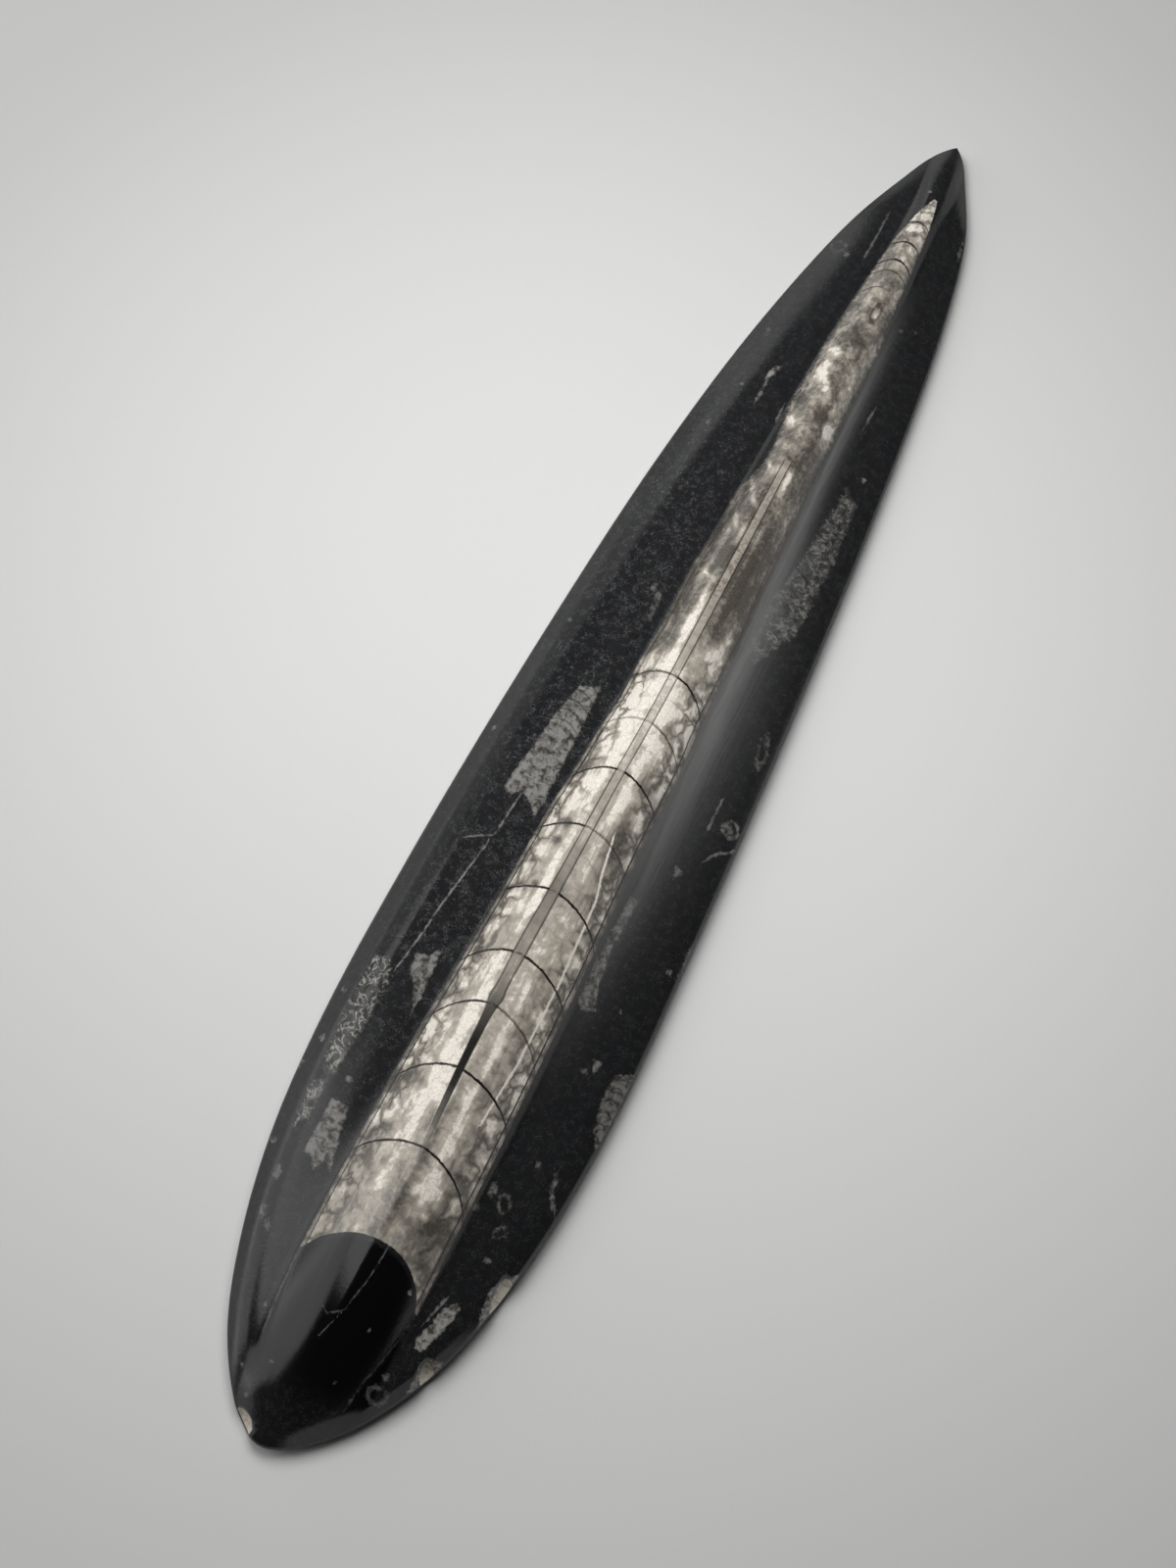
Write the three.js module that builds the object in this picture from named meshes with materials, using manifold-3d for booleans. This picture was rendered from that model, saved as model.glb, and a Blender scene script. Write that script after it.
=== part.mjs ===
// A polished orthoceras: a straight-shelled nautiloid kept in a long leaf of black limestone.
// The stone is sawn flat below and ground by hand above, so that the fossil runs along it as a
// low rib between two shallow grooves. Shell, filling and stone are one piece.
//
// Frame: millimetres, +Z up, +Y towards the apex of the shell, +X to the right seen from above,
// with the origin under the middle of the stone, on the surface that it lies on.
import * as THREE from 'three';
import { mergeVertices } from 'three/addons/utils/BufferGeometryUtils.js';
import Module from 'manifold-3d';

// Driving dimensions
const LENGTH = 250;
const WIDTH = 48;
const THICKNESS = 15;

const HALF_LENGTH = LENGTH / 2;
const HALF_WIDTH = WIDTH / 2;
const FOOT_INSET = 0.04 * THICKNESS; // the sawn edge below is eased by this much
const FOOT_RISE = 0.08 * THICKNESS; // and is upright again from this height
const RIM_INSET = 0.015 * THICKNESS; // the upright rim leans in this much at its top
const SOFTENING = 0.05 * THICKNESS; // how far the polish rounds one ground face into the next
const GROOVE_DEPTH = 0.035 * THICKNESS;
const PLATEAU = 0.3; // the flat crown of the rib, as a share of the rib's half-width
const DOMED = { apex: [0.8, 0.94], blunt: [-0.7, -0.84] }; // where the crown turns domed
const UNGROOVED = { apex: [0.7, 0.88], blunt: [-0.5, -0.74] }; // where the grooves run out
const FLANK_RISE = { left: 0.06, right: 0.3 }; // slope of the ground faces beside the rib

const COLUMNS_ALONG = 46; // stations along each side
const COLUMNS_ROUND = 6; // stations round each quarter of an end
const SPINE_ENDS = { apex: 0.93, blunt: -0.87 }; // where the columns start to fan, in half-lengths
const OUTLINE_STEPS = 480;

// The outline seen from above, from the apex point down the left side, round the blunt end and
// back up the right side. Across in half-widths, along in half-lengths.
const OUTLINE = [
  [0.033, 1.0], [-0.095, 0.976], [-0.242, 0.912], [-0.42, 0.816], [-0.662, 0.6], [-0.825, 0.36],
  [-0.938, 0.04], [-0.996, -0.28], [-0.988, -0.52], [-0.908, -0.68], [-0.758, -0.804],
  [-0.575, -0.896], [-0.375, -0.955], [-0.217, -0.986], [-0.054, -1.0], [0.108, -0.99],
  [0.35, -0.951], [0.55, -0.899], [0.725, -0.832], [0.85, -0.752], [0.95, -0.64],
  [1.0, -0.464], [0.963, -0.24], [0.858, 0.12], [0.708, 0.48], [0.563, 0.72],
  [0.412, 0.864], [0.25, 0.936], [0.13, 0.98], [0.033, 1.0],
];

// A value that changes along the stone: a smooth curve through a few stations. Stations are in
// half-lengths from the middle, values in shares of the given size.
function profile(size, stations) {
  const at = stations.map(([y]) => y * HALF_LENGTH);
  const value = stations.map(([, v]) => v * size);
  const step = at.slice(1).map((y, i) => y - at[i]);
  const slope = step.map((h, i) => (value[i + 1] - value[i]) / h);
  const tangent = at.map((_, i) => {
    if (i === 0) return slope[0];
    if (i === slope.length) return slope[i - 1];
    return (slope[i - 1] * step[i] + slope[i] * step[i - 1]) / (step[i - 1] + step[i]);
  });
  return (y) => {
    const here = Math.min(Math.max(y, at[0]), at[at.length - 1]);
    const i = Math.min(Math.max(at.findIndex((edge) => edge >= here) - 1, 0), step.length - 1);
    const t = (here - at[i]) / step[i];
    return value[i] * (1 + 2 * t) * (1 - t) ** 2 + tangent[i] * step[i] * t * (1 - t) ** 2
      + value[i + 1] * t * t * (3 - 2 * t) + tangent[i + 1] * step[i] * t * t * (t - 1);
  };
}

const ridgeAcross = profile(HALF_WIDTH, [
  [-1, -0.04], [-0.93, 0.02], [-0.8, 0.05], [0, 0.067], [0.6, 0.06], [0.88, 0.08], [1, 0.033],
]);
const ribHalfWidth = profile(HALF_WIDTH, [
  [-1, 0.16], [-0.94, 0.31], [-0.88, 0.375], [-0.8, 0.425], [-0.6, 0.43], [-0.4, 0.405],
  [-0.24, 0.37], [0, 0.31], [0.28, 0.25], [0.48, 0.21], [0.72, 0.16], [0.86, 0.12], [1, 0.12],
]);
const crestHeight = profile(THICKNESS, [
  [-1, 0.17], [-0.95, 0.44], [-0.9, 0.62], [-0.82, 0.83], [-0.72, 0.96], [-0.56, 1], [-0.32, 0.99],
  [0, 0.93], [0.32, 0.83], [0.64, 0.66], [0.8, 0.53], [0.9, 0.415], [0.96, 0.29], [1, 0.19],
]);
const rimHeight = profile(THICKNESS, [
  [-1, 0.16], [-0.88, 0.22], [-0.3, 0.28], [0.4, 0.26], [0.85, 0.2], [1, 0.14],
]);
const shoulderHeight = {
  left: profile(THICKNESS, [
    [-1, 0.2], [-0.9, 0.38], [-0.76, 0.49], [-0.32, 0.54], [0.16, 0.52], [0.56, 0.48],
    [0.8, 0.41], [0.92, 0.32], [1, 0.18],
  ]),
  right: profile(THICKNESS, [
    [-1, 0.2], [-0.9, 0.35], [-0.7, 0.4], [-0.3, 0.41], [0.2, 0.39], [0.6, 0.37],
    [0.8, 0.34], [0.92, 0.29], [1, 0.18],
  ]),
};
const bevelWidth = {
  left: profile(HALF_WIDTH, [
    [-1, 0.05], [-0.9, 0.12], [-0.75, 0.18], [-0.4, 0.2], [0, 0.225], [0.4, 0.26],
    [0.64, 0.295], [0.8, 0.26], [0.92, 0.17], [1, 0.06],
  ]),
  right: profile(HALF_WIDTH, [
    [-1, 0.05], [-0.85, 0.09], [0.2, 0.09], [0.6, 0.13], [0.84, 0.14], [0.93, 0.1], [1, 0.05],
  ]),
};

// Old breaks in the edge: hollows scooped out by an ellipsoid. Places across in half-widths,
// along in half-lengths; the radii and the height of the middle are in millimetres.
const BREAKS = [
  { across: -0.235, along: -0.9925, height: 3.6, radii: [2.9, 2.6, 3.2], turn: -0.45 }, // blunt end
  { across: 0.89, along: -0.735, height: 4.6, radii: [1.5, 4.6, 2.6], turn: 0.2 }, // right edge
  { across: 0.7, along: -0.85, height: 4.2, radii: [1.3, 3.2, 2.4], turn: 0.5 }, // further down
];

// --- Outline ---------------------------------------------------------------------------------

function outlineLoop() {
  const points = OUTLINE.map(([x, y]) => new THREE.Vector3(x * HALF_WIDTH, y * HALF_LENGTH, 0));
  const curve = new THREE.CatmullRomCurve3(points, false, 'centripetal');
  return curve.getPoints(OUTLINE_STEPS);
}

const outline = outlineLoop();
const bluntIndex = outline.reduce((low, p, i) => (p.y < outline[low].y ? i : low), 0);
const sides = {
  left: outline.slice(0, bluntIndex + 1),
  right: outline.slice(bluntIndex).reverse(),
};

// Distance from a point inside the stone to the outline.
function distanceToOutline(x, y) {
  let best = Infinity;
  for (let i = 1; i < outline.length; i += 1) {
    const a = outline[i - 1];
    const b = outline[i];
    const dx = b.x - a.x;
    const dy = b.y - a.y;
    const length = dx * dx + dy * dy;
    if (length === 0) continue;
    const t = Math.min(Math.max(((x - a.x) * dx + (y - a.y) * dy) / length, 0), 1);
    best = Math.min(best, Math.hypot(x - a.x - t * dx, y - a.y - t * dy));
  }
  return best;
}

// Where a side of the outline, which runs from the apex down, crosses a station.
function acrossAt(side, y) {
  const points = sides[side];
  const i = Math.max(points.findIndex((p) => p.y <= y), 1);
  const a = points[i - 1];
  const b = points[i];
  return a.x + (b.x - a.x) * ((a.y - y) / (a.y - b.y));
}

// Where a ray from a point inside leaves the outline.
function rayToOutline(from, angle) {
  const reach = (p) => {
    const turn = Math.atan2(p.y - from.y, p.x - from.x) - angle;
    return Math.atan2(Math.sin(turn), Math.cos(turn));
  };
  for (let i = 1; i < outline.length; i += 1) {
    const before = reach(outline[i - 1]);
    const after = reach(outline[i]);
    if (before * after <= 0 && Math.abs(before) + Math.abs(after) < 1) {
      const t = before === after ? 0 : before / (before - after);
      return outline[i - 1].clone().lerp(outline[i], t);
    }
  }
  throw new Error('the ray misses the outline');
}

// --- Height of the ground faces --------------------------------------------------------------

const mix = (a, b, t) => a + (b - a) * t;
const clamp01 = (t) => Math.min(Math.max(t, 0), 1);

function softMin(a, b, softness) {
  const t = clamp01(0.5 + (0.5 * (b - a)) / softness);
  return mix(b, a, t) - softness * t * (1 - t);
}

const softMax = (a, b, softness) => -softMin(-a, -b, softness);

// 0 along the middle of the stone, rising to 1 towards both ends.
function nearEnds(y, { apex, blunt }) {
  const [start, end] = y > 0 ? apex : blunt;
  const t = clamp01((y / HALF_LENGTH - start) / (end - start));
  return t * t * (3 - 2 * t);
}

// The bevel, the flank beside the rib, the rib itself and the groove at its foot, in that order.
function heightAt(x, y) {
  const inward = distanceToOutline(x, y);
  const offRidge = x - ridgeAcross(y);
  const foot = ribHalfWidth(y);
  const rightness = clamp01(0.5 + offRidge / foot);
  const width = mix(bevelWidth.left(y), bevelWidth.right(y), rightness);
  const shoulder = mix(shoulderHeight.left(y), shoulderHeight.right(y), rightness);
  const bevel = mix(rimHeight(y), shoulder, inward / width);
  const flank = shoulder + mix(FLANK_RISE.left, FLANK_RISE.right, rightness) * (inward - width);
  const side = softMin(bevel, flank, SOFTENING * mix(2.4, 1, rightness));
  const down = (Math.abs(offRidge) / foot - PLATEAU) / (1 - PLATEAU);
  const crowned = 0.5 * (down + Math.hypot(down, 0.25));
  const domed = Math.min(Math.abs(offRidge) / foot, 1.6) ** 1.4;
  const fall = mix(crowned, domed, nearEnds(y, DOMED));
  const crest = crestHeight(y);
  const top = softMax(side, crest - (crest - side) * fall, SOFTENING);
  const offGroove = (Math.abs(offRidge) - 1.04 * foot) / (0.22 * foot + SOFTENING);
  const open = clamp01((inward - width) / (5 * SOFTENING)) * (1 - nearEnds(y, UNGROOVED));
  return top - GROOVE_DEPTH * Math.exp(-offGroove * offGroove) * open;
}

// --- The stone -------------------------------------------------------------------------------

// Each column runs from a point of the outline to the point of the spine that it belongs to.
// The spine lies under the ridge and stops short of both ends, where the columns fan out.
function columns() {
  const onSpine = (y) => new THREE.Vector3(ridgeAcross(y), y, 0);
  const apexEnd = onSpine(SPINE_ENDS.apex * HALF_LENGTH);
  const bluntEnd = onSpine(SPINE_ENDS.blunt * HALF_LENGTH);
  const list = [];
  const alongSide = (side, from, to) => {
    for (let i = 0; i <= COLUMNS_ALONG; i += 1) {
      const y = mix(from.y, to.y, i / COLUMNS_ALONG);
      list.push({ rim: new THREE.Vector3(acrossAt(side, y), y, 0), spine: onSpine(y) });
    }
  };
  const quarter = (spine, from, to) => {
    for (let i = 1; i < COLUMNS_ROUND; i += 1) {
      list.push({ rim: rayToOutline(spine, mix(from, to, i / COLUMNS_ROUND)), spine });
    }
  };
  const roundEnd = (spine, from, point) => {
    const turn = Math.atan2(point.y - spine.y, point.x - spine.x);
    const middle = turn < from ? turn + 2 * Math.PI : turn;
    quarter(spine, from, middle);
    list.push({ rim: point, spine });
    quarter(spine, middle, from + Math.PI);
  };
  alongSide('left', apexEnd, bluntEnd);
  roundEnd(bluntEnd, Math.PI, outline[bluntIndex]);
  alongSide('right', bluntEnd, apexEnd);
  roundEnd(apexEnd, 0, outline[0]);
  return list;
}

// The points of one column: over the rim and the ground faces to the spine.
function columnPoints({ rim, spine }) {
  const span = rim.distanceTo(spine);
  const inset = (distance, z) => {
    const p = rim.clone().lerp(spine, distance / span);
    return [p.x, p.y, z];
  };
  const ground = (distance) => {
    const p = rim.clone().lerp(spine, distance / span);
    return [p.x, p.y, heightAt(p.x, p.y)];
  };
  const side = rim.x < spine.x ? 'left' : 'right';
  const bevelEnd = Math.min(bevelWidth[side](rim.y), 0.35 * span);
  const ribStart = Math.max(span - ribHalfWidth(spine.y), mix(bevelEnd, span, 0.2));
  return [
    inset(FOOT_INSET, 0),
    inset(0, FOOT_RISE),
    inset(RIM_INSET, rimHeight(rim.y)),
    ground(mix(RIM_INSET, bevelEnd, 0.8)),
    ground(mix(RIM_INSET, bevelEnd, 1.2)),
    ground(mix(bevelEnd, ribStart, 0.55)),
    ground(ribStart),
    ground(mix(ribStart, span, 0.22)),
    ground(mix(ribStart, span, 0.45)),
    ground(mix(ribStart, span, 0.7)),
    ground(span),
  ];
}

function closedMesh() {
  const grid = columns().map(columnPoints);
  const positions = [];
  const quad = (a, b, c, d) => positions.push(...a, ...b, ...c, ...a, ...c, ...d);
  const flat = ([x, y]) => [x, y, 0];
  grid.forEach((column, i) => {
    const next = grid[(i + 1) % grid.length];
    for (let k = 1; k < column.length; k += 1) {
      quad(column[k - 1], next[k - 1], next[k], column[k]);
    }
    const top = column.length - 1;
    quad(flat(column[top]), flat(next[top]), next[0], column[0]);
  });
  const geometry = new THREE.BufferGeometry();
  geometry.setAttribute('position', new THREE.Float32BufferAttribute(positions, 3));
  return withoutSlivers(mergeVertices(geometry, 1e-4));
}

// Merging the spine's points leaves triangles with two corners alike, which are dropped.
function withoutSlivers(geometry) {
  const index = Array.from(geometry.index.array);
  const kept = [];
  for (let i = 0; i < index.length; i += 3) {
    const [a, b, c] = index.slice(i, i + 3);
    if (a !== b && b !== c && c !== a) kept.push(a, b, c);
  }
  geometry.setIndex(kept);
  return geometry;
}

// --- Breaks in the edge ----------------------------------------------------------------------

function toSolid(wasm, geometry) {
  return new wasm.Manifold(new wasm.Mesh({
    numProp: 3,
    vertProperties: new Float32Array(geometry.attributes.position.array),
    triVerts: new Uint32Array(geometry.index.array),
  }));
}

function toGeometry(solid) {
  const mesh = solid.getMesh();
  const geometry = new THREE.BufferGeometry();
  geometry.setAttribute('position', new THREE.Float32BufferAttribute(mesh.vertProperties, 3));
  geometry.setIndex(new THREE.Uint32BufferAttribute(mesh.triVerts, 1));
  return geometry;
}

function breakShape({ across, along, height, radii, turn }) {
  const ball = new THREE.SphereGeometry(1, 18, 12);
  ball.deleteAttribute('normal');
  ball.deleteAttribute('uv');
  ball.rotateX(Math.PI / 2);
  ball.scale(...radii);
  ball.rotateZ(turn);
  ball.translate(across * HALF_WIDTH, along * HALF_LENGTH, height);
  return withoutSlivers(mergeVertices(ball, 1e-4));
}

async function stoneGeometry() {
  const wasm = await Module();
  wasm.setup();
  let stone = toSolid(wasm, closedMesh());
  for (const shape of BREAKS) {
    stone = stone.subtract(toSolid(wasm, breakShape(shape)));
  }
  const geometry = toGeometry(stone);
  geometry.computeVertexNormals();
  geometry.computeBoundingBox();
  const middle = geometry.boundingBox.getCenter(new THREE.Vector3());
  return geometry.translate(-middle.x, -middle.y, -geometry.boundingBox.min.z);
}

const polishedLimestone = new THREE.MeshStandardMaterial({
  color: 0x1b1c1e, roughness: 0.22, metalness: 0,
});

const stone = new THREE.Mesh(await stoneGeometry(), polishedLimestone);
stone.name = 'fossil_stone';

const orthoceras = new THREE.Group();
orthoceras.add(stone);

export default orthoceras;
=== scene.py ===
"""A polished orthoceras: a straight-shelled nautiloid kept in a long leaf of black limestone."""

import logging
import math
from collections.abc import Sequence
from dataclasses import dataclass, field
from enum import Enum

import bpy
import numpy as np
from mathutils import Matrix, Vector


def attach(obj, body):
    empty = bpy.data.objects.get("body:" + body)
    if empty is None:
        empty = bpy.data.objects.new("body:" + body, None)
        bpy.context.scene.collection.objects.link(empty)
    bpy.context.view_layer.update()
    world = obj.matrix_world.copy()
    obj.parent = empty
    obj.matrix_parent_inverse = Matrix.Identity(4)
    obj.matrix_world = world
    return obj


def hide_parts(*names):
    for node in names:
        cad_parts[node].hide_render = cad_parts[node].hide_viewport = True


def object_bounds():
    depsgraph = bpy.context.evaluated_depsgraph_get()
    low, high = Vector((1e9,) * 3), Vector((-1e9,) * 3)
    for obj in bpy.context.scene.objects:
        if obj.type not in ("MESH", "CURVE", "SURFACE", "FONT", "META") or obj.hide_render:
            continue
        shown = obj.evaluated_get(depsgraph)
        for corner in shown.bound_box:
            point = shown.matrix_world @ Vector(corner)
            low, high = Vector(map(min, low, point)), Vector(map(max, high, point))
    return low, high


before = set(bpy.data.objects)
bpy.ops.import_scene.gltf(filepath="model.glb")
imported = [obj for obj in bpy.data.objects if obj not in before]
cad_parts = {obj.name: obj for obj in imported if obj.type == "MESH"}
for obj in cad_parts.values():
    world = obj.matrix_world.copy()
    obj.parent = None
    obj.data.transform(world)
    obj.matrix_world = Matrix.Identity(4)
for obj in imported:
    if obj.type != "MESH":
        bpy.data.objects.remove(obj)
CAD_LOW, CAD_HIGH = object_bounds()

LOG = logging.getLogger("orthoceras")

Field = np.ndarray  # one number for each point of the mesh
Place = tuple[float, float]  # across and along the stone, in millimetres from its middle
Pair = tuple[float, float]  # two numbers that a share goes between
Triple = tuple[float, float, float]
Colour = tuple[float, float, float]
Socket = bpy.types.NodeSocket
Feed = float | Socket  # what a shader input takes: a plain number or another node's output

# The stone is drawn in millimetres at its nominal length and scaled to the frame.
NOMINAL_LENGTH = 250.0
UNIT = (CAD_HIGH.y - CAD_LOW.y) / NOMINAL_LENGTH
HALF_LENGTH = NOMINAL_LENGTH / 2
HALF_WIDTH = 24.0
THICKNESS = 15.0
FAR = 99.0  # millimetres: further off than anything on the stone reaches
HALF = 0.5  # the middle of a cloud's numbers


def smooth_curve(edges: Sequence[float], values: Sequence[float], at: Field) -> Field:
    """A smooth curve through a few stations, held level beyond both ends.

    Args:
        edges: The stations, rising.
        values: The value at each station.
        at: Where the curve is wanted.

    Returns:
        The curve's value at each place.
    """
    edge, value = np.array(edges, float), np.array(values, float)
    step = np.diff(edge)
    slope = np.diff(value) / step
    middle = (slope[:-1] * step[1:] + slope[1:] * step[:-1]) / (step[:-1] + step[1:])
    tangent = np.concatenate(([slope[0]], middle, [slope[-1]]))
    here = np.clip(at, edge[0], edge[-1])
    i = np.clip(np.searchsorted(edge, here) - 1, 0, len(step) - 1)
    t = (here - edge[i]) / step[i]
    rise = value[i] * (1 + 2 * t) * (1 - t) ** 2 + value[i + 1] * t * t * (3 - 2 * t)
    return rise + step[i] * t * (1 - t) * (tangent[i] * (1 - t) - tangent[i + 1] * t)


def through(points: Sequence[Place], at: Field) -> Field:
    """The smooth curve through (station, value) pairs, at each place."""
    return smooth_curve([p[0] for p in points], [p[1] for p in points], at)


def mix(a: Field, b: Field, share: Field) -> Field:
    """A value between a and b."""
    return a + (b - a) * share


def soft_min(a: Field, b: Field, softness: Field) -> Field:
    """The lower of a and b, with the corner between them rounded."""
    t = np.clip(0.5 + 0.5 * (b - a) / softness, 0, 1)
    return mix(b, a, t) - softness * t * (1 - t)


def soft_max(a: Field, b: Field, softness: Field) -> Field:
    """The higher of a and b, with the corner between them rounded."""
    return -soft_min(-a, -b, softness)


def turned(x: Field, y: Field, middle: Sequence[float], turn: float) -> tuple[Field, Field]:
    """Where points lie from a middle, along axes that are turned.

    Args:
        x: Across the stone.
        y: Along the stone.
        middle: The middle, across and along.
        turn: How far the axes are turned, in radians.

    Returns:
        The points along the first axis and along the second.
    """
    dx, dy = x - middle[0], y - middle[1]
    c, s = math.cos(turn), math.sin(turn)
    return c * dx + s * dy, c * dy - s * dx


def off_line(x: Field, y: Field, start: Place, end: Place) -> Field:
    """How far points are from a straight line between two places.

    Args:
        x: Across the stone.
        y: Along the stone.
        start: One end of the line.
        end: Its other end.

    Returns:
        The distance of each point.
    """
    dx, dy, ex, ey = x - start[0], y - start[1], end[0] - start[0], end[1] - start[1]
    t = np.clip((dx * ex + dy * ey) / (ex * ex + ey * ey), 0, 1)
    return np.hypot(dx - t * ex, dy - t * ey)


def placed(name: str, points: Sequence[Triple], faces: Sequence[tuple[int, ...]]) -> bpy.types.Object:
    """Makes a smooth mesh and puts it in the scene.

    Args:
        name: What the piece is called.
        points: Its points, in metres.
        faces: The points round each face.

    Returns:
        The piece.
    """
    mesh = bpy.data.meshes.new(f"{name}_mesh")
    mesh.from_pydata(points, [], faces)
    mesh.shade_smooth()
    piece = bpy.data.objects.new(name, mesh)
    bpy.context.scene.collection.objects.link(piece)
    return piece


class Side(Enum):
    """The two long sides of the stone, seen from above with the apex away from the viewer."""

    LEFT = -1
    RIGHT = 1


# --- The stone's shape ---------------------------------------------------------------------------


@dataclass(frozen=True)
class Profile:
    """A size that changes along the stone, from stations in shares of its half-length."""

    size: float
    stations: tuple[Place, ...]

    def at(self, along: Field) -> Field:
        """The size at each place along the stone."""
        edges = [y * HALF_LENGTH for y, _ in self.stations]
        return smooth_curve(edges, [v * self.size for _, v in self.stations], along)


@dataclass(frozen=True)
class Outline:
    """The leaf outline, from the apex down the left side, round the blunt end and back up."""

    steps: int = 480
    points: tuple[Place, ...] = (
        (0.033, 1.0), (-0.095, 0.976), (-0.242, 0.912), (-0.42, 0.816), (-0.662, 0.6),
        (-0.825, 0.36), (-0.938, 0.04), (-0.996, -0.28), (-0.988, -0.52), (-0.908, -0.68),
        (-0.758, -0.804), (-0.575, -0.896), (-0.375, -0.955), (-0.217, -0.986), (-0.054, -1.0),
        (0.108, -0.99), (0.35, -0.951), (0.55, -0.899), (0.725, -0.832), (0.85, -0.752),
        (0.95, -0.64), (1.0, -0.464), (0.963, -0.24), (0.858, 0.12), (0.708, 0.48),
        (0.563, 0.72), (0.412, 0.864), (0.25, 0.936), (0.13, 0.98), (0.033, 1.0),
    )

    def loop(self) -> Field:
        """The outline as close points along a centripetal curve.

        Returns:
            The points, one row each, in millimetres.
        """
        p = np.array(self.points) * (HALF_WIDTH, HALF_LENGTH)
        p = np.vstack((2 * p[0] - p[1], p, 2 * p[-1] - p[-2]))
        t = np.arange(self.steps + 1) / self.steps * (len(p) - 3)
        i = np.minimum(t.astype(int), len(p) - 4)
        t = (t - i)[:, None]
        a, b, c, d = p[i], p[i + 1], p[i + 2], p[i + 3]
        ab, bc, cd = (np.sqrt(np.linalg.norm(v - u, axis=1))[:, None] for u, v in ((a, b), (b, c), (c, d)))
        out = ((b - a) / ab - (c - a) / (ab + bc) + (c - b) / bc) * bc
        into = ((c - b) / bc - (d - b) / (bc + cd) + (d - c) / cd) * bc
        ends = b * (1 + 2 * t) * (1 - t) ** 2 + c * t * t * (3 - 2 * t)
        return ends + t * (1 - t) * (out * (1 - t) - into * t)


@dataclass(frozen=True)
class Break:
    """An old break in the edge: a hollow scooped out by an ellipsoid."""

    middle: Triple
    radii: Triple
    turn: float

    def floor(self, x: Field, y: Field) -> tuple[Field, Field]:
        """The bottom of the hollow under each point.

        Args:
            x: Across the stone.
            y: Along the stone.

        Returns:
            The height of the hollow's floor, very high outside it, and how far inside a point is.
        """
        middle = (self.middle[0] * HALF_WIDTH, self.middle[1] * HALF_LENGTH)
        u, v = turned(x, y, middle, self.turn)
        inside = 1 - (u / self.radii[0]) ** 2 - (v / self.radii[1]) ** 2
        deep = self.middle[2] - self.radii[2] * np.sqrt(np.maximum(inside, 0))
        return np.where(inside > 0, deep, np.inf), inside


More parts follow.
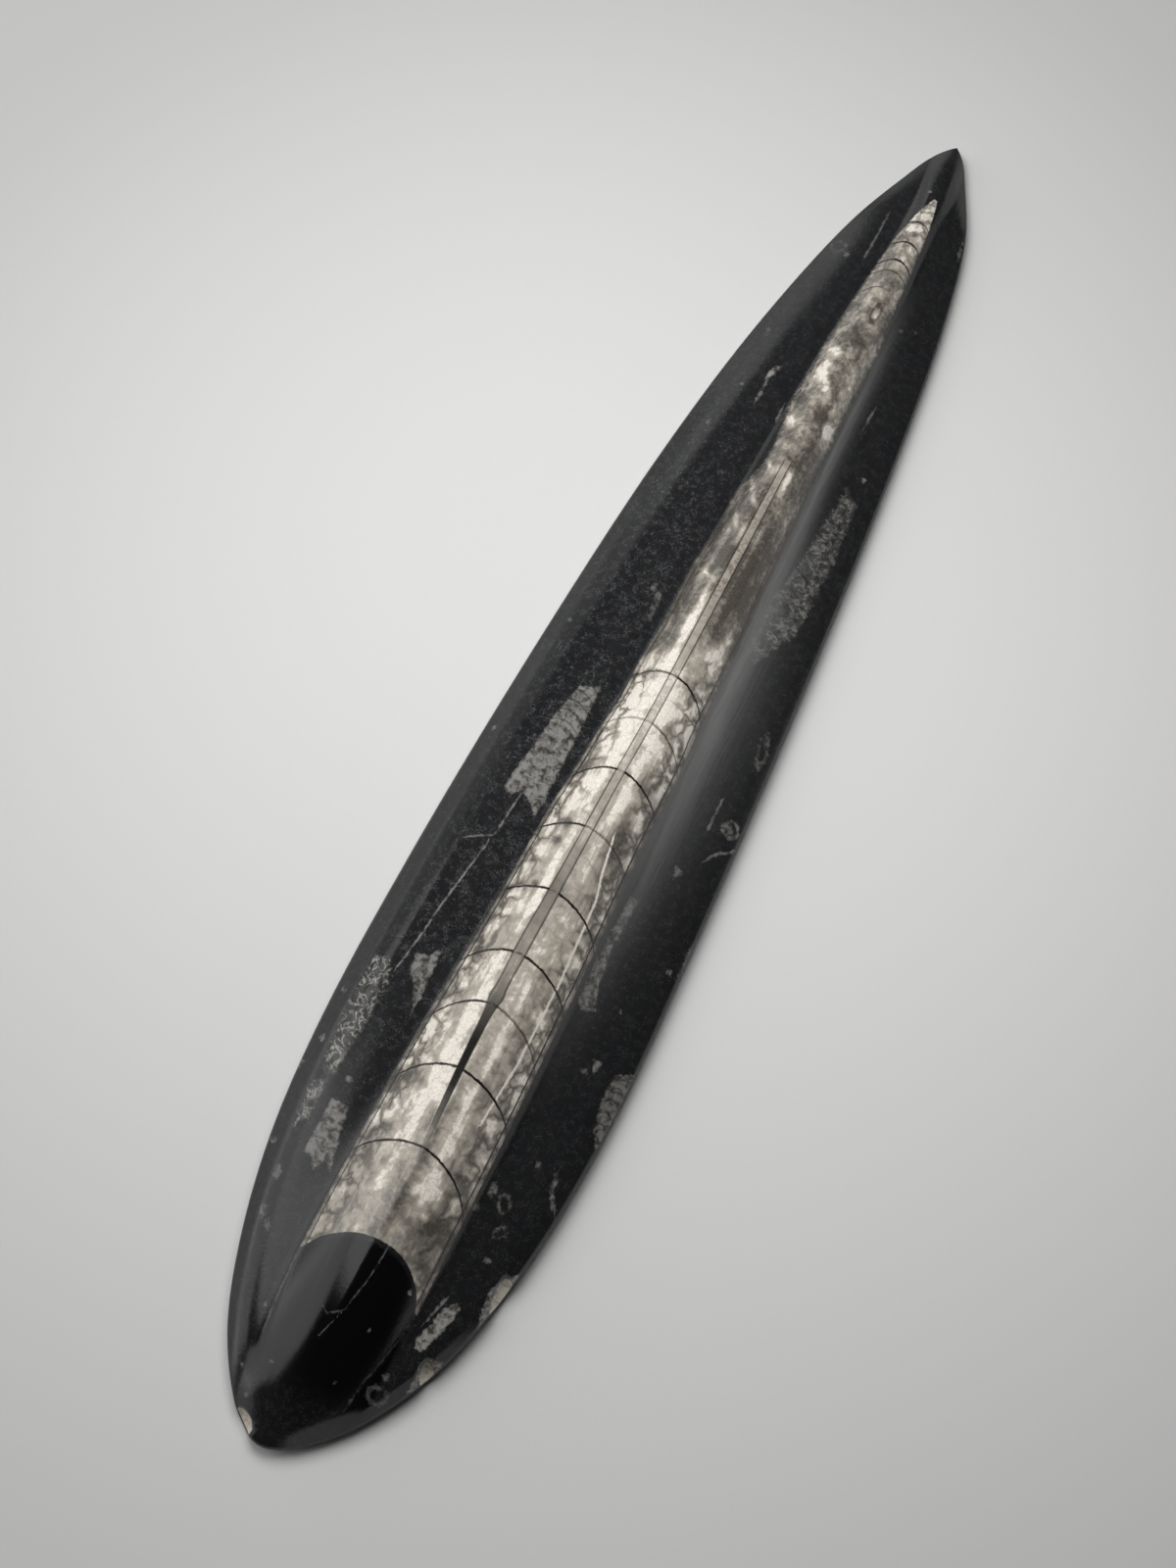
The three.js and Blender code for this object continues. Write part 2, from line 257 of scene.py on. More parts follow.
@dataclass(frozen=True)
class Ground:
    """The ground and polished faces: bevel, flank, rib and the groove at the rib's foot.

    The plateau, the crown's bend, the dome's reach and the groove's place and width are shares of how far
    the rib's foot is from its ridge.
    """

    softening: float = 0.05 * THICKNESS
    left_softening: float = 2.4
    plateau: float = 0.3
    crown_bend: float = 0.25
    dome_reach: float = 1.6
    dome_power: float = 1.4
    groove_depth: float = 0.035 * THICKNESS
    groove_place: float = 1.04
    groove_width: float = 0.22
    groove_clearance: float = 5.0
    domed: tuple[Place, Place] = ((0.8, 0.94), (-0.7, -0.84))
    ungrooved: tuple[Place, Place] = ((0.7, 0.88), (-0.5, -0.74))
    rise: dict[Side, float] = field(default_factory=lambda: {Side.LEFT: 0.06, Side.RIGHT: 0.3})
    ridge: Profile = Profile(HALF_WIDTH, (
        (-1, -0.04), (-0.93, 0.02), (-0.8, 0.05), (0, 0.067), (0.6, 0.06), (0.88, 0.08), (1, 0.033)))
    foot: Profile = Profile(HALF_WIDTH, (
        (-1, 0.16), (-0.94, 0.31), (-0.88, 0.375), (-0.8, 0.425), (-0.6, 0.43), (-0.4, 0.405),
        (-0.24, 0.37), (0, 0.31), (0.28, 0.25), (0.48, 0.21), (0.72, 0.16), (0.86, 0.12), (1, 0.12)))
    crest: Profile = Profile(THICKNESS, (
        (-1, 0.17), (-0.95, 0.44), (-0.9, 0.62), (-0.82, 0.83), (-0.72, 0.96), (-0.56, 1),
        (-0.32, 0.99), (0, 0.93), (0.32, 0.83), (0.64, 0.66), (0.8, 0.53), (0.9, 0.415), (0.96, 0.29),
        (1, 0.19)))
    rim: Profile = Profile(THICKNESS, (
        (-1, 0.16), (-0.88, 0.22), (-0.3, 0.28), (0.4, 0.26), (0.85, 0.2), (1, 0.14)))
    shoulder: dict[Side, Profile] = field(default_factory=lambda: {
        Side.LEFT: Profile(THICKNESS, (
            (-1, 0.2), (-0.9, 0.38), (-0.76, 0.49), (-0.32, 0.54), (0.16, 0.52), (0.56, 0.48),
            (0.8, 0.41), (0.92, 0.32), (1, 0.18))),
        Side.RIGHT: Profile(THICKNESS, (
            (-1, 0.2), (-0.9, 0.35), (-0.7, 0.4), (-0.3, 0.41), (0.2, 0.39), (0.6, 0.37),
            (0.8, 0.34), (0.92, 0.29), (1, 0.18))),
    })
    bevel: dict[Side, Profile] = field(default_factory=lambda: {
        Side.LEFT: Profile(HALF_WIDTH, (
            (-1, 0.05), (-0.9, 0.12), (-0.75, 0.18), (-0.4, 0.2), (0, 0.225), (0.4, 0.26),
            (0.64, 0.295), (0.8, 0.26), (0.92, 0.17), (1, 0.06))),
        Side.RIGHT: Profile(HALF_WIDTH, (
            (-1, 0.05), (-0.85, 0.09), (0.2, 0.09), (0.6, 0.13), (0.84, 0.14), (0.93, 0.1), (1, 0.05))),
    })

    @staticmethod
    def near_ends(y: Field, apex: Place, blunt: Place) -> Field:
        """Rises from 0 along the middle to 1 towards both ends.

        Args:
            y: Along the stone.
            apex: Where it starts and stops rising towards the apex, in shares of the half-length.
            blunt: The same towards the blunt end.

        Returns:
            The share at each point.
        """
        t = np.where(y > 0, (y / HALF_LENGTH - apex[0]) / (apex[1] - apex[0]),
                     (y / HALF_LENGTH - blunt[0]) / (blunt[1] - blunt[0]))
        t = np.clip(t, 0, 1)
        return t * t * (3 - 2 * t)

    def height(self, x: Field, y: Field, inward: Field) -> Field:
        """The height of the ground faces.

        Args:
            x: Across the stone.
            y: Along the stone.
            inward: Distance from the outline.

        Returns:
            The height above the surface that the stone lies on.
        """
        off = x - self.ridge.at(y)
        foot = self.foot.at(y)
        right = np.clip(0.5 + off / foot, 0, 1)
        width = mix(self.bevel[Side.LEFT].at(y), self.bevel[Side.RIGHT].at(y), right)
        shoulder = mix(self.shoulder[Side.LEFT].at(y), self.shoulder[Side.RIGHT].at(y), right)
        bevel = mix(self.rim.at(y), shoulder, inward / width)
        rise = mix(self.rise[Side.LEFT], self.rise[Side.RIGHT], right)
        softening = self.softening * mix(self.left_softening, 1.0, right)
        side = soft_min(bevel, shoulder + rise * (inward - width), softening)
        down = (np.abs(off) / foot - self.plateau) / (1 - self.plateau)
        fall = 0.5 * (down + np.hypot(down, self.crown_bend))
        dome = np.minimum(np.abs(off) / foot, self.dome_reach) ** self.dome_power
        fall = mix(fall, dome, self.near_ends(y, *self.domed))
        crest = self.crest.at(y)
        top = soft_max(side, crest - (crest - side) * fall, self.softening)
        off_groove = (np.abs(off) - self.groove_place * foot) / (self.groove_width * foot + self.softening)
        room = np.clip((inward - width) / (self.groove_clearance * self.softening), 0, 1)
        opening = room * (1 - self.near_ends(y, *self.ungrooved))
        return top - self.groove_depth * np.exp(-off_groove**2) * opening


@dataclass(frozen=True)
class Columns:
    """The columns of the mesh, each from the outline to the point of the spine that `ends` gives."""

    rims: Field
    spine: Field
    ends: list[int]

    @property
    def heads(self) -> Field:
        """Where each column ends."""
        return self.spine[self.ends]

    @property
    def span(self) -> Field:
        """How long each column is."""
        return np.linalg.norm(self.heads - self.rims, axis=1)


@dataclass(frozen=True)
class Rows:
    """Points up the columns, with a row of each array to a column."""

    x: Field
    y: Field
    z: Field
    polish: Field
    chip: Field

    def joined(self, inner: "Rows") -> "Rows":
        """These points with others further up the same columns."""
        pairs = zip(vars(self).values(), vars(inner).values(), strict=True)
        return Rows(*(np.concatenate(pair, 1) for pair in pairs))


@dataclass
class StoneMesh:
    """The whole stone as one closed mesh of columns from the outline to the spine.

    The steps of the foot and the rim are each how far in and how far up a step is, as shares.
    """

    outline: Outline = Outline()
    ground: Ground = field(default_factory=Ground)
    breaks: tuple[Break, ...] = (
        Break((-0.235, -0.9925, 3.6), (2.9, 2.6, 3.2), -0.45),
        Break((0.89, -0.735, 4.6), (1.5, 4.6, 2.6), 0.2),
        Break((0.7, -0.85, 4.2), (1.3, 3.2, 2.4), 0.5),
    )
    spine_ends: tuple[float, float] = (0.93, -0.87)
    side_columns: int = 556
    blunt_columns: int = 48
    apex_columns: int = 26
    rings: int = 70
    foot_inset: float = 0.04 * THICKNESS
    foot_rise: float = 0.08 * THICKNESS
    foot_steps: tuple[Place, ...] = ((1.0, 0.0), (0.72, 0.22), (0.33, 0.6), (0.06, 1.0))
    rim_inset: float = 0.015 * THICKNESS
    rim_steps: tuple[Place, ...] = ((0.0, 0.45), (0.35, 0.86))
    below_face: float = 0.98
    break_ripple: float = 0.10
    break_waves: tuple[Place, Place] = ((2.3, 1.1), (-1.3, 1.9))
    break_floor: float = 0.3
    batch: int = 4000

    def columns(self) -> Columns:
        """Where each column starts on the outline and ends on the spine.

        Returns:
            The columns, in turn round the outline.
        """
        loop = self.outline.loop()
        blunt = int(np.argmin(loop[:, 1]))
        left, right = loop[: blunt + 1][::-1], loop[blunt:]
        ys = np.linspace(self.spine_ends[0], self.spine_ends[1], self.side_columns + 1) * HALF_LENGTH
        spine = np.stack((self.ground.ridge.at(ys), ys), 1)
        rims: list[Field] = [np.stack((np.interp(ys, left[:, 1], left[:, 0]), ys), 1)]
        ends = list(range(len(ys)))
        rims.append(self.fan(loop, spine[-1], math.pi, loop[blunt], self.blunt_columns))
        ends += [len(ys) - 1] * len(rims[-1])
        rims.append(np.stack((np.interp(ys, right[:, 1], right[:, 0]), ys), 1)[::-1])
        ends += list(range(len(ys)))[::-1]
        rims.append(self.fan(loop, spine[0], 0.0, loop[0], self.apex_columns))
        ends += [0] * len(rims[-1])
        return Columns(np.vstack(rims), spine, ends)

    @staticmethod
    def fan(loop: Field, centre: Field, start: float, tip: Field, count: int) -> Field:
        """Where rays from a spine end leave the outline, half a turn round, with one at the tip.

        Args:
            loop: The outline's points.
            centre: The spine end.
            start: The angle of the last column of the side before.
            tip: The outermost point of that end.
            count: Columns in each quarter.

        Returns:
            The points on the outline.
        """
        bearing = np.unwrap(np.arctan2(loop[:-1, 1] - centre[1], loop[:-1, 0] - centre[0]))
        turn = math.atan2(tip[1] - centre[1], tip[0] - centre[0])
        turn = turn + 2 * math.pi if turn < start else turn
        first = np.linspace(start, turn, count + 1)[1:]
        angles = np.concatenate((first, np.linspace(turn, start + math.pi, count + 1)[1:-1]))
        bearing = np.concatenate((bearing - 2 * math.pi, bearing, bearing + 2 * math.pi))
        x, y = np.tile(loop[:-1, 0], 3), np.tile(loop[:-1, 1], 3)
        return np.stack((np.interp(angles, bearing, x), np.interp(angles, bearing, y)), 1)

    def inward(self, x: Field, y: Field) -> Field:
        """How far in from the outline points are.

        Args:
            x: Across the stone.
            y: Along the stone.

        Returns:
            The distance of each point.
        """
        loop = self.outline.loop()
        a, span = loop[:-1], np.diff(loop, axis=0)
        length = np.maximum((span**2).sum(1), 1e-12)
        result = np.empty(x.size)
        for start in range(0, x.size, self.batch):
            part = slice(start, start + self.batch)
            dx = x.ravel()[part, None] - a[:, 0]
            dy = y.ravel()[part, None] - a[:, 1]
            t = np.clip((dx * span[:, 0] + dy * span[:, 1]) / length, 0, 1)
            result[part] = np.hypot(dx - t * span[:, 0], dy - t * span[:, 1]).min(1)
        return result.reshape(x.shape)

    def scoop(self, x: Field, y: Field, z: Field) -> tuple[Field, Field]:
        """Cuts the breaks into a height.

        Args:
            x: Across the stone.
            y: Along the stone.
            z: The height before.

        Returns:
            The height after, and how deep inside a break each point is.
        """
        chip, low = np.full(x.shape, -1.0), z.copy()
        first, second = (np.sin(a * x + b * y) for a, b in self.break_waves)
        for hollow in self.breaks:
            floor, inside = hollow.floor(x, y)
            floor = floor + self.break_ripple * first * second
            chip = np.maximum(chip, np.where(floor < z, inside, -1.0))
            low = np.minimum(low, np.maximum(floor, self.break_floor))
        return low, chip

    def face(self, columns: Columns) -> Rows:
        """The ground face, from the rim to just short of the spine.

        Args:
            columns: The columns of the mesh.

        Returns:
            Its points.
        """
        rims, heads, span = columns.rims, columns.heads, columns.span[:, None]
        inset = self.rim_inset + np.linspace(0, 1, self.rings)[None, :-1] * (span - self.rim_inset)
        share = inset / span
        x, y = mix(rims[:, :1], heads[:, :1], share), mix(rims[:, 1:], heads[:, 1:], share)
        z, chip = self.scoop(x, y, self.ground.height(x, y, self.inward(x, y)))
        return Rows(x, y, z, np.ones_like(x), chip)

    def edge(self, columns: Columns, face: Rows) -> Rows:
        """The sawn rim and the eased foot below it, from the foot up.

        Args:
            columns: The columns of the mesh.
            face: The ground face above.

        Returns:
            Its points.
        """
        top = face.z[:, 0]
        foot = np.full_like(top, self.foot_rise)
        steps = [(share * self.foot_inset, rise * foot) for share, rise in self.foot_steps]
        steps += [(share * self.rim_inset, mix(self.foot_rise, top, rise)) for share, rise in self.rim_steps]
        away = columns.heads - columns.rims
        spots = [columns.rims + away * (distance / columns.span)[:, None] for distance, _ in steps]
        x, y = np.stack([spot[:, 0] for spot in spots], 1), np.stack([spot[:, 1] for spot in spots], 1)
        z = np.stack([np.minimum(height, top * self.below_face) for _, height in steps], 1)
        return Rows(x, y, z, np.zeros_like(x), np.repeat(face.chip[:, :1], len(steps), 1))

    @staticmethod
    def skin(columns: Columns, rows: int) -> list[tuple[int, ...]]:
        """The faces: strips up the columns, closed by the spine's crown above and its foot below.

        Args:
            columns: The columns of the mesh.
            rows: Points in each column.

        Returns:
            The points round each face.
        """
        count, last = len(columns.ends), rows - 1
        crown, foot = count * rows, count * rows + len(columns.spine)
        faces: list[tuple[int, ...]] = []
        for column in range(count):
            following = (column + 1) % count
            a, b = column * rows, following * rows
            head, after = columns.ends[column], columns.ends[following]
            corners = 3 if head == after else 4
            faces += [(a + k, b + k, b + k + 1, a + k + 1) for k in range(last)]
            faces.append((a + last, b + last, crown + after, crown + head)[:corners])
            faces.append((b, a, foot + head, foot + after)[:corners])
        return faces

    def build(self) -> tuple[bpy.types.Object, Field, Field, dict[str, Field]]:
        """Makes the mesh.

        Returns:
            The stone, where its points are across and along, and where it is polished and broken.
        """
        columns = self.columns()
        face = self.face(columns)
        rows = self.edge(columns, face).joined(face)
        spine, many = columns.spine, len(columns.spine)
        crown = self.ground.height(spine[:, 0], spine[:, 1], self.inward(spine[:, 0], spine[:, 1]))
        points = np.vstack((
            np.stack((rows.x.ravel(), rows.y.ravel(), rows.z.ravel()), 1),
            np.column_stack((spine, crown)),
            np.column_stack((spine, np.zeros(many))),
        ))
        points[:, :2] -= (points.min(0)[:2] + points.max(0)[:2]) / 2
        stone = placed("polished_stone", (points * UNIT).tolist(), self.skin(columns, rows.x.shape[1]))
        ground = {
            "polish": np.concatenate((rows.polish.ravel(), np.ones(many), np.zeros(many))),
            "chip": np.concatenate((rows.chip.ravel(), np.full(2 * many, -1.0))),
        }
        return stone, points[:, 0], points[:, 1], ground


# --- What shows in the polished face --------------------------------------------------------------


@dataclass(frozen=True)
class Septum:
    """One wall between two chambers of the shell, an arc across the cone."""

    top: float
    left_drop: float
    right_drop: float
    left: float = 1.0
    right: float = 1.0
    straight: float = 0.15
    roundness: float = 0.94
    overrun: float = 1.02
    turnover: float = 2.5

    def height(self, reach: Field) -> Field:
        """Where the arc runs.

        Args:
            reach: The place across, from -1 at the left wall to 1 at the right.

        Returns:
            How far along the stone the arc is there.
        """
        u = np.clip(np.abs(reach), 0, self.overrun)
        bow = (1 - np.sqrt(1 - self.roundness * u * u)) / (1 - math.sqrt(1 - self.roundness))
        sag = mix(bow, u, self.straight)
        return self.top - np.where(reach < 0, self.left_drop, self.right_drop) * sag

    def strength(self, reach: Field) -> Field:
        """How dark the arc is, from its place across."""
        return mix(self.left, self.right, np.clip(0.5 + self.turnover * reach, 0, 1))


@dataclass(frozen=True)
class Patch:
    """A soft-edged patch of tone in the calcite, a few of them painted highlight: above 0 is whiter, below 0
    is browner.
    """

    x: float
    y: float
    across: float
    along: float
    tone: float
    turn: float = 0.0
    firmness: float = 1.5

    def at(self, x: Field, y: Field) -> Field:
        """The patch's tone at each point.

        Args:
            x: Across the stone.
            y: Along the stone.

        Returns:
            The tone, fading out from the patch's middle.
        """
        u, v = turned(x, y, (self.x, self.y), math.radians(self.turn))
        spread = (u / self.across) ** 2 + (v / self.along) ** 2
        return self.tone * np.exp(-(spread**self.firmness))


@dataclass(frozen=True)
class Spot:
    """A small fossil cut across: an ellipse of pale calcite, or a ring of it."""

    x: float
    y: float
    across: float
    along: float
    tone: float = 0.5
    turn: float = 0.0
    ring: float = 0.0

    def inside(self, x: Field, y: Field) -> Field:
        """How far inside each point is.

        Args:
            x: Across the stone.
            y: Along the stone.

        Returns:
            The depth in millimetres, below 0 outside.
        """
        u, v = turned(x, y, (self.x, self.y), math.radians(self.turn))
        depth = (1 - np.hypot(u / self.across, v / self.along)) * min(self.across, self.along)
        return depth if self.ring == 0 else self.ring / 2 - np.abs(depth - self.ring / 2)


@dataclass(frozen=True)
class Shard:
    """A piece of shell with straight or ragged sides, and growth lines across it if it has a stripe."""

    corners: tuple[Place, ...]
    tone: float = 0.5
    stripe: float = 0.0
    lean: float = 0.0
    striped_above: float = -HALF_LENGTH
    firmness: float = 1.0
    lace: float = 0.0
    bow: float = 0.12

    def inside(self, x: Field, y: Field) -> Field:
        """How far inside each point is.

        Args:
            x: Across the stone.
            y: Along the stone.

        Returns:
            The depth in millimetres, below 0 outside.
        """
        depth = np.full(x.shape, np.inf)
        within = np.zeros(x.shape, bool)
        for a, b in zip(self.corners, self.corners[1:] + self.corners[:1], strict=True):
            depth = np.minimum(depth, off_line(x, y, a, b))
            if a[1] != b[1]:
                edge = a[0] + (b[0] - a[0]) * (y - a[1]) / (b[1] - a[1])
                within ^= ((a[1] > y) != (b[1] > y)) & (x < edge)
        return np.where(within, depth, -depth) * self.firmness


@dataclass(frozen=True)
class Vein:
    """A thin line through a few points: a vein of calcite in the limestone, and in two places a painted
    highlight along a ridge of the dome.
    """

    points: tuple[Place, ...]
    width: float = 0.3
    tone: float = 0.6
    reach: float = 1.6

    def offset(self, x: Field, y: Field) -> tuple[Field, Field]:
        """How far each point lies to one side of the line.

        Args:
            x: Across the stone.
            y: Along the stone.

        Returns:
            The distance, with a sign for the side, and how near the point is to the line at all.
        """
        best, side = np.full(x.shape, np.inf), np.ones(x.shape)
        for a, b in zip(self.points, self.points[1:], strict=False):
            away = off_line(x, y, a, b)
            cross = (b[0] - a[0]) * (y - a[1]) - (b[1] - a[1]) * (x - a[0])
            side = np.where(away < best, np.sign(cross), side)
            best = np.minimum(best, away)
        return best * side, np.clip(self.reach - best, 0, 1)


def nearest_line(lines: Sequence[Vein], x: Field, y: Field) -> tuple[Field, Field]:
    """The nearest of several thin lines.

    Args:
        lines: The lines.
        x: Across the stone.
        y: Along the stone.

    Returns:
        How many line widths each point is from the line's middle, with a sign for the side, and how strongly
        the line shows there.
    """
    offset, strength = np.full(x.shape, FAR), np.zeros(x.shape)
    for line in lines:
        off, near = line.offset(x, y)
        closer = np.abs(off) < np.abs(offset)
        offset = np.where(closer, off / line.width, offset)
        strength = np.where(closer, near * line.tone, strength)
    return offset, strength


@dataclass
class Fossil:
    """The orthoceras itself: its outline in the face, walls, chambers and filling."""

    left_wall: tuple[Place, ...] = (
        (-98, -8.8), (-85, -8.8), (-75, -8.7), (-60, -8.4), (-50, -7.9), (-30, -7.2), (-20, -6.9),
        (-13, -6.2), (-5, -5.7), (0, -5.2), (10, -5.2), (14, -4.9), (30, -4.9), (35, -4.2),
        (45, -3.8), (46.5, -3.1), (62, -3.2), (75, -2.9), (85, -2.3), (95, -1.6), (100, -1.0),
        (103, -0.4), (106, 0.3), (108.5, 1.2), (110.3, 2.0))
    right_wall: tuple[Place, ...] = (
        (-98, 11.3), (-75, 11.1), (-50, 10.5), (-40, 10.2), (-30, 9.7), (-20, 9.3), (-5, 9.0),
        (0, 8.6), (10, 8.3), (20, 8.1), (30, 7.3), (40, 6.9), (50, 6.3), (60, 5.9), (70, 5.8),
        (80, 5.6), (85, 5.0), (90, 4.8), (95, 4.5), (100, 4.1), (104, 3.8), (107, 3.3), (110.3, 2.7))
    mouth: tuple[Place, ...] = (
        (-8.6, -97.5), (-6.5, -95), (-4, -93.3), (-1.5, -92.2), (1, -91.7), (2.5, -91.6),
        (4.5, -91.8), (7, -92.8), (8.8, -94.3), (10.2, -96.3), (11, -98.5))
    tip: float = 110.4
    tip_bluntness: float = 0.6
    septa: tuple[Septum, ...] = (
        Septum(-77.1, 4.9, 6.9), Septum(-64.4, 5.6, 5.2), Septum(-53.7, 5.8, 6.3, 1, 0.7),
        Septum(-45, 4, 5), Septum(-34, 2.3, 5), Septum(-22.5, 2.3, 4.5, 1, 0.6),
        Septum(-11.9, 3.1, 4.2), Septum(-2.6, 2, 5, 0.5, 0.7), Septum(6.3, 1.5, 4.3, 0.8, 1),
        Septum(88.4, 1.5, 1.5, 0.7, 0.2), Septum(92.4, 1, 1, 0.6, 0.6), Septum(95, 1, 1.4),
        Septum(99.4, 0.8, 1.2, 1, 0.9), Septum(104.4, 0.6, 1, 0.9, 0.8))
    tube_middle: tuple[Place, ...] = (
        (-78, 1.5), (-60, 0.7), (-45, 0.6), (-30, 0.9), (-15, 1.1), (0, 1.45), (20, 1.5), (50, 1.4))
    tube_half: tuple[Place, ...] = (
        (-78, 0.25), (-67, 0.5), (-60, 0.6), (-54, 0.8), (-52.5, 1.05), (-51, 0.9), (-45, 0.95),
        (-30, 0.8), (-15, 0.7), (35, 0.7), (50, 0.6))
    tube_dark: tuple[Place, ...] = (
        (-80, 0.2), (-75, 0.6), (-67, 1), (-60, 1), (-54, 0.8), (-50, 0.5), (-40, 0.42), (-34, 0.55),
        (-28, 0.35), (-20, 0.2), (0, 0.1), (20, 0.0), (50, 0.0))
    patches: tuple[Patch, ...] = (
        # The first five patches are the white streaks along the rib's shoulders: partly the calcite's own
        # fibrous white, partly painted highlight.
        Patch(-1.7, -66, 0.9, 21, 1.2), Patch(-1.0, -27, 0.8, 24, 0.8), Patch(4.2, -60, 0.6, 15, 1.0),
        Patch(4.9, -80, 1.1, 10, 1.0), Patch(3.4, -17, 0.8, 14, 0.9), Patch(2.1, -79, 0.8, 13, -1.1),
        Patch(6.1, -58, 1.5, 14, -0.5), Patch(-4.7, -67.8, 1.6, 1.8, -1.0), Patch(-5, -76.5, 1, 1, -0.8),
        Patch(8.5, -77, 1.2, 2.5, -0.8), Patch(-6.5, -73, 1.5, 3, 0.6), Patch(-7, -62, 1, 5, 0.6),
        Patch(9.9, -62, 1, 2, 0.7), Patch(8.9, -87.5, 2.4, 3.6, -1.5), Patch(6.3, -86, 0.6, 0.6, 1.6),
        Patch(-2.6, -22.8, 0.9, 0.8, -2), Patch(-2.8, -26, 0.75, 0.7, -1.8),
        Patch(-2.6, -33.8, 0.6, 0.6, -1.8), Patch(5.8, -22, 1.0, 7, -1.2), Patch(5.5, -12, 0.8, 2, -1),
        Patch(5, -2.5, 1.1, 1.6, -1), Patch(4, 21.5, 0.7, 7, -1.4), Patch(0, -2.5, 7, 7, 0.4),
        Patch(-0.2, 17, 0.9, 9, 2.2), Patch(-2.4, 28, 0.8, 7, 1.6), Patch(6.3, 14, 0.8, 5, 1.9),
        Patch(6.6, 28, 0.5, 6, 1.5), Patch(3.1, 30, 0.4, 8, 1.3), Patch(-1.9, 43.1, 0.55, 2.2, 2.0, 28),
        Patch(-0.4, 40.2, 0.5, 1.5, 1.9, 42), Patch(-1.4, 48.4, 0.45, 1.2, 2, 28),
        Patch(3, 46, 0.4, 2.4, 1.7), Patch(-2.4, 46.5, 0.5, 1.5, -1.2, 20),
        Patch(-0.4, 67.5, 0.9, 3.2, 1.5, 35), Patch(-0.2, 73.2, 0.8, 1.5, 1.4, 45),
        Patch(-1.5, 57.2, 0.6, 2.2, 1.4, 30), Patch(4.6, 58.5, 0.9, 1.2, 1.5),
        Patch(-2, 36.8, 0.5, 1.8, 1.8, 25), Patch(0.2, 34, 0.4, 3, 1.6), Patch(6.1, 38.2, 0.35, 2, 1.6, 15),
        Patch(-2.3, 63, 1, 1.5, -1.2, 40), Patch(0.6, 53.8, 1.5, 0.9, -0.8),
        Patch(-1, 25, 0.35, 1.6, 1.2, 60), Patch(2.6, 45.5, 0.35, 2.5, 1.2), Patch(6.2, 43.7, 0.35, 1.8, 1),
        Patch(7.0, 32, 0.4, 2, 1.1), Patch(1.8, 60, 2.4, 1.6, -1.2), Patch(-1, 55, 1.2, 1.5, -1),
        Patch(-2, 62, 1, 1.2, -1), Patch(0, 67.5, 1, 1.7, 1), Patch(1.5, 65, 0.8, 0.8, 1),
        Patch(5, 58.5, 0.7, 1.5, 0.9), Patch(-1, 70, 0.9, 1, 0.8), Patch(2.6, 83, 0.7, 1.7, 0.8),
        Patch(1, -89, 11, 4.5, -0.35), Patch(4.5, 84, 0.8, 3, -0.7), Patch(1, 76, 2, 2, -0.6),
        Patch(4, 50, 1.2, 3, -0.7))
    threads: tuple[Vein, ...] = (
        Vein(((5, -22), (6, -28), (7, -32), (7.5, -40), (7.9, -46), (7.9, -60), (7.6, -65), (7.2, -70)),
             0.22, 0.9),
        # A painted highlight: the thin light line along a ridge of the dome, not a vein.
        Vein(((-3.4, -92.6), (-3.7, -100), (-4.1, -108)), 0.25, 0.25))
    eyelet: Spot = Spot(2.6, 83, 0.7, 1.8)
    eyelet_strength: float = 0.55
    septum_reach: float = 1.5
    narrowest: float = 0.5
    tube_ends: Place = (-80.0, 49.8)
    tube_fades: Place = (8.0, 0.5)
    cap_edge: float = 0.6
    cap_end: float = -124.0
    cap_fade: float = 12.0
    wall_strength: tuple[Place, ...] = ((-98, 1), (0, 1), (12, 0.75), (40, 0.5), (50, 0.12), (110, 0.1))
    haze: tuple[Place, ...] = ((-120, 0.2), (-80, 0.28), (-50, 0.3), (0, 0.34), (60, 0.45), (112, 0.5))
    glow: tuple[Place, ...] = (
        (-98, -0.4), (-84, -0.2), (-60, 0.4), (-30, 0.1), (-8, 0.8), (3, 1.4), (11, -0.6), (20, -3.4),
        (32, -4.1), (42, -2.3), (50, -1.6), (65, -0.9), (80, -1.2), (95, 0.0), (108, 2.2))
    mottle: tuple[Place, ...] = (
        (-92, 0.35), (-60, 0.25), (0, 0.2), (12, 0.55), (45, 0.8), (75, 0.9), (105, 0.35))
    # The brushed groove right of the shell: rougher, and painted with a sheen that is brightest along its
    # middle next to the shell and fades out to the right.
    brushed_middle: tuple[Place, ...] = (
        (-60, 10.6), (-20, 9.2), (10, 8.6), (35, 7.6), (60, 6.9), (80, 6.2), (100, 5.2))
    brushed_reach: tuple[Place, ...] = (
        (-60, 2.5), (-20, 4.4), (10, 4.4), (30, 3.0), (45, 1.6), (80, 1.2), (100, 0.8))
    brushed_strength: tuple[Place, ...] = (
        (-66, 0), (-45, 0.3), (-20, 0.7), (0, 0.9), (12, 0.95), (35, 0.9), (60, 0.75), (80, 0.4), (94, 0))
    brushed_inner: float = 0.9
    brushed_power: float = 1.4

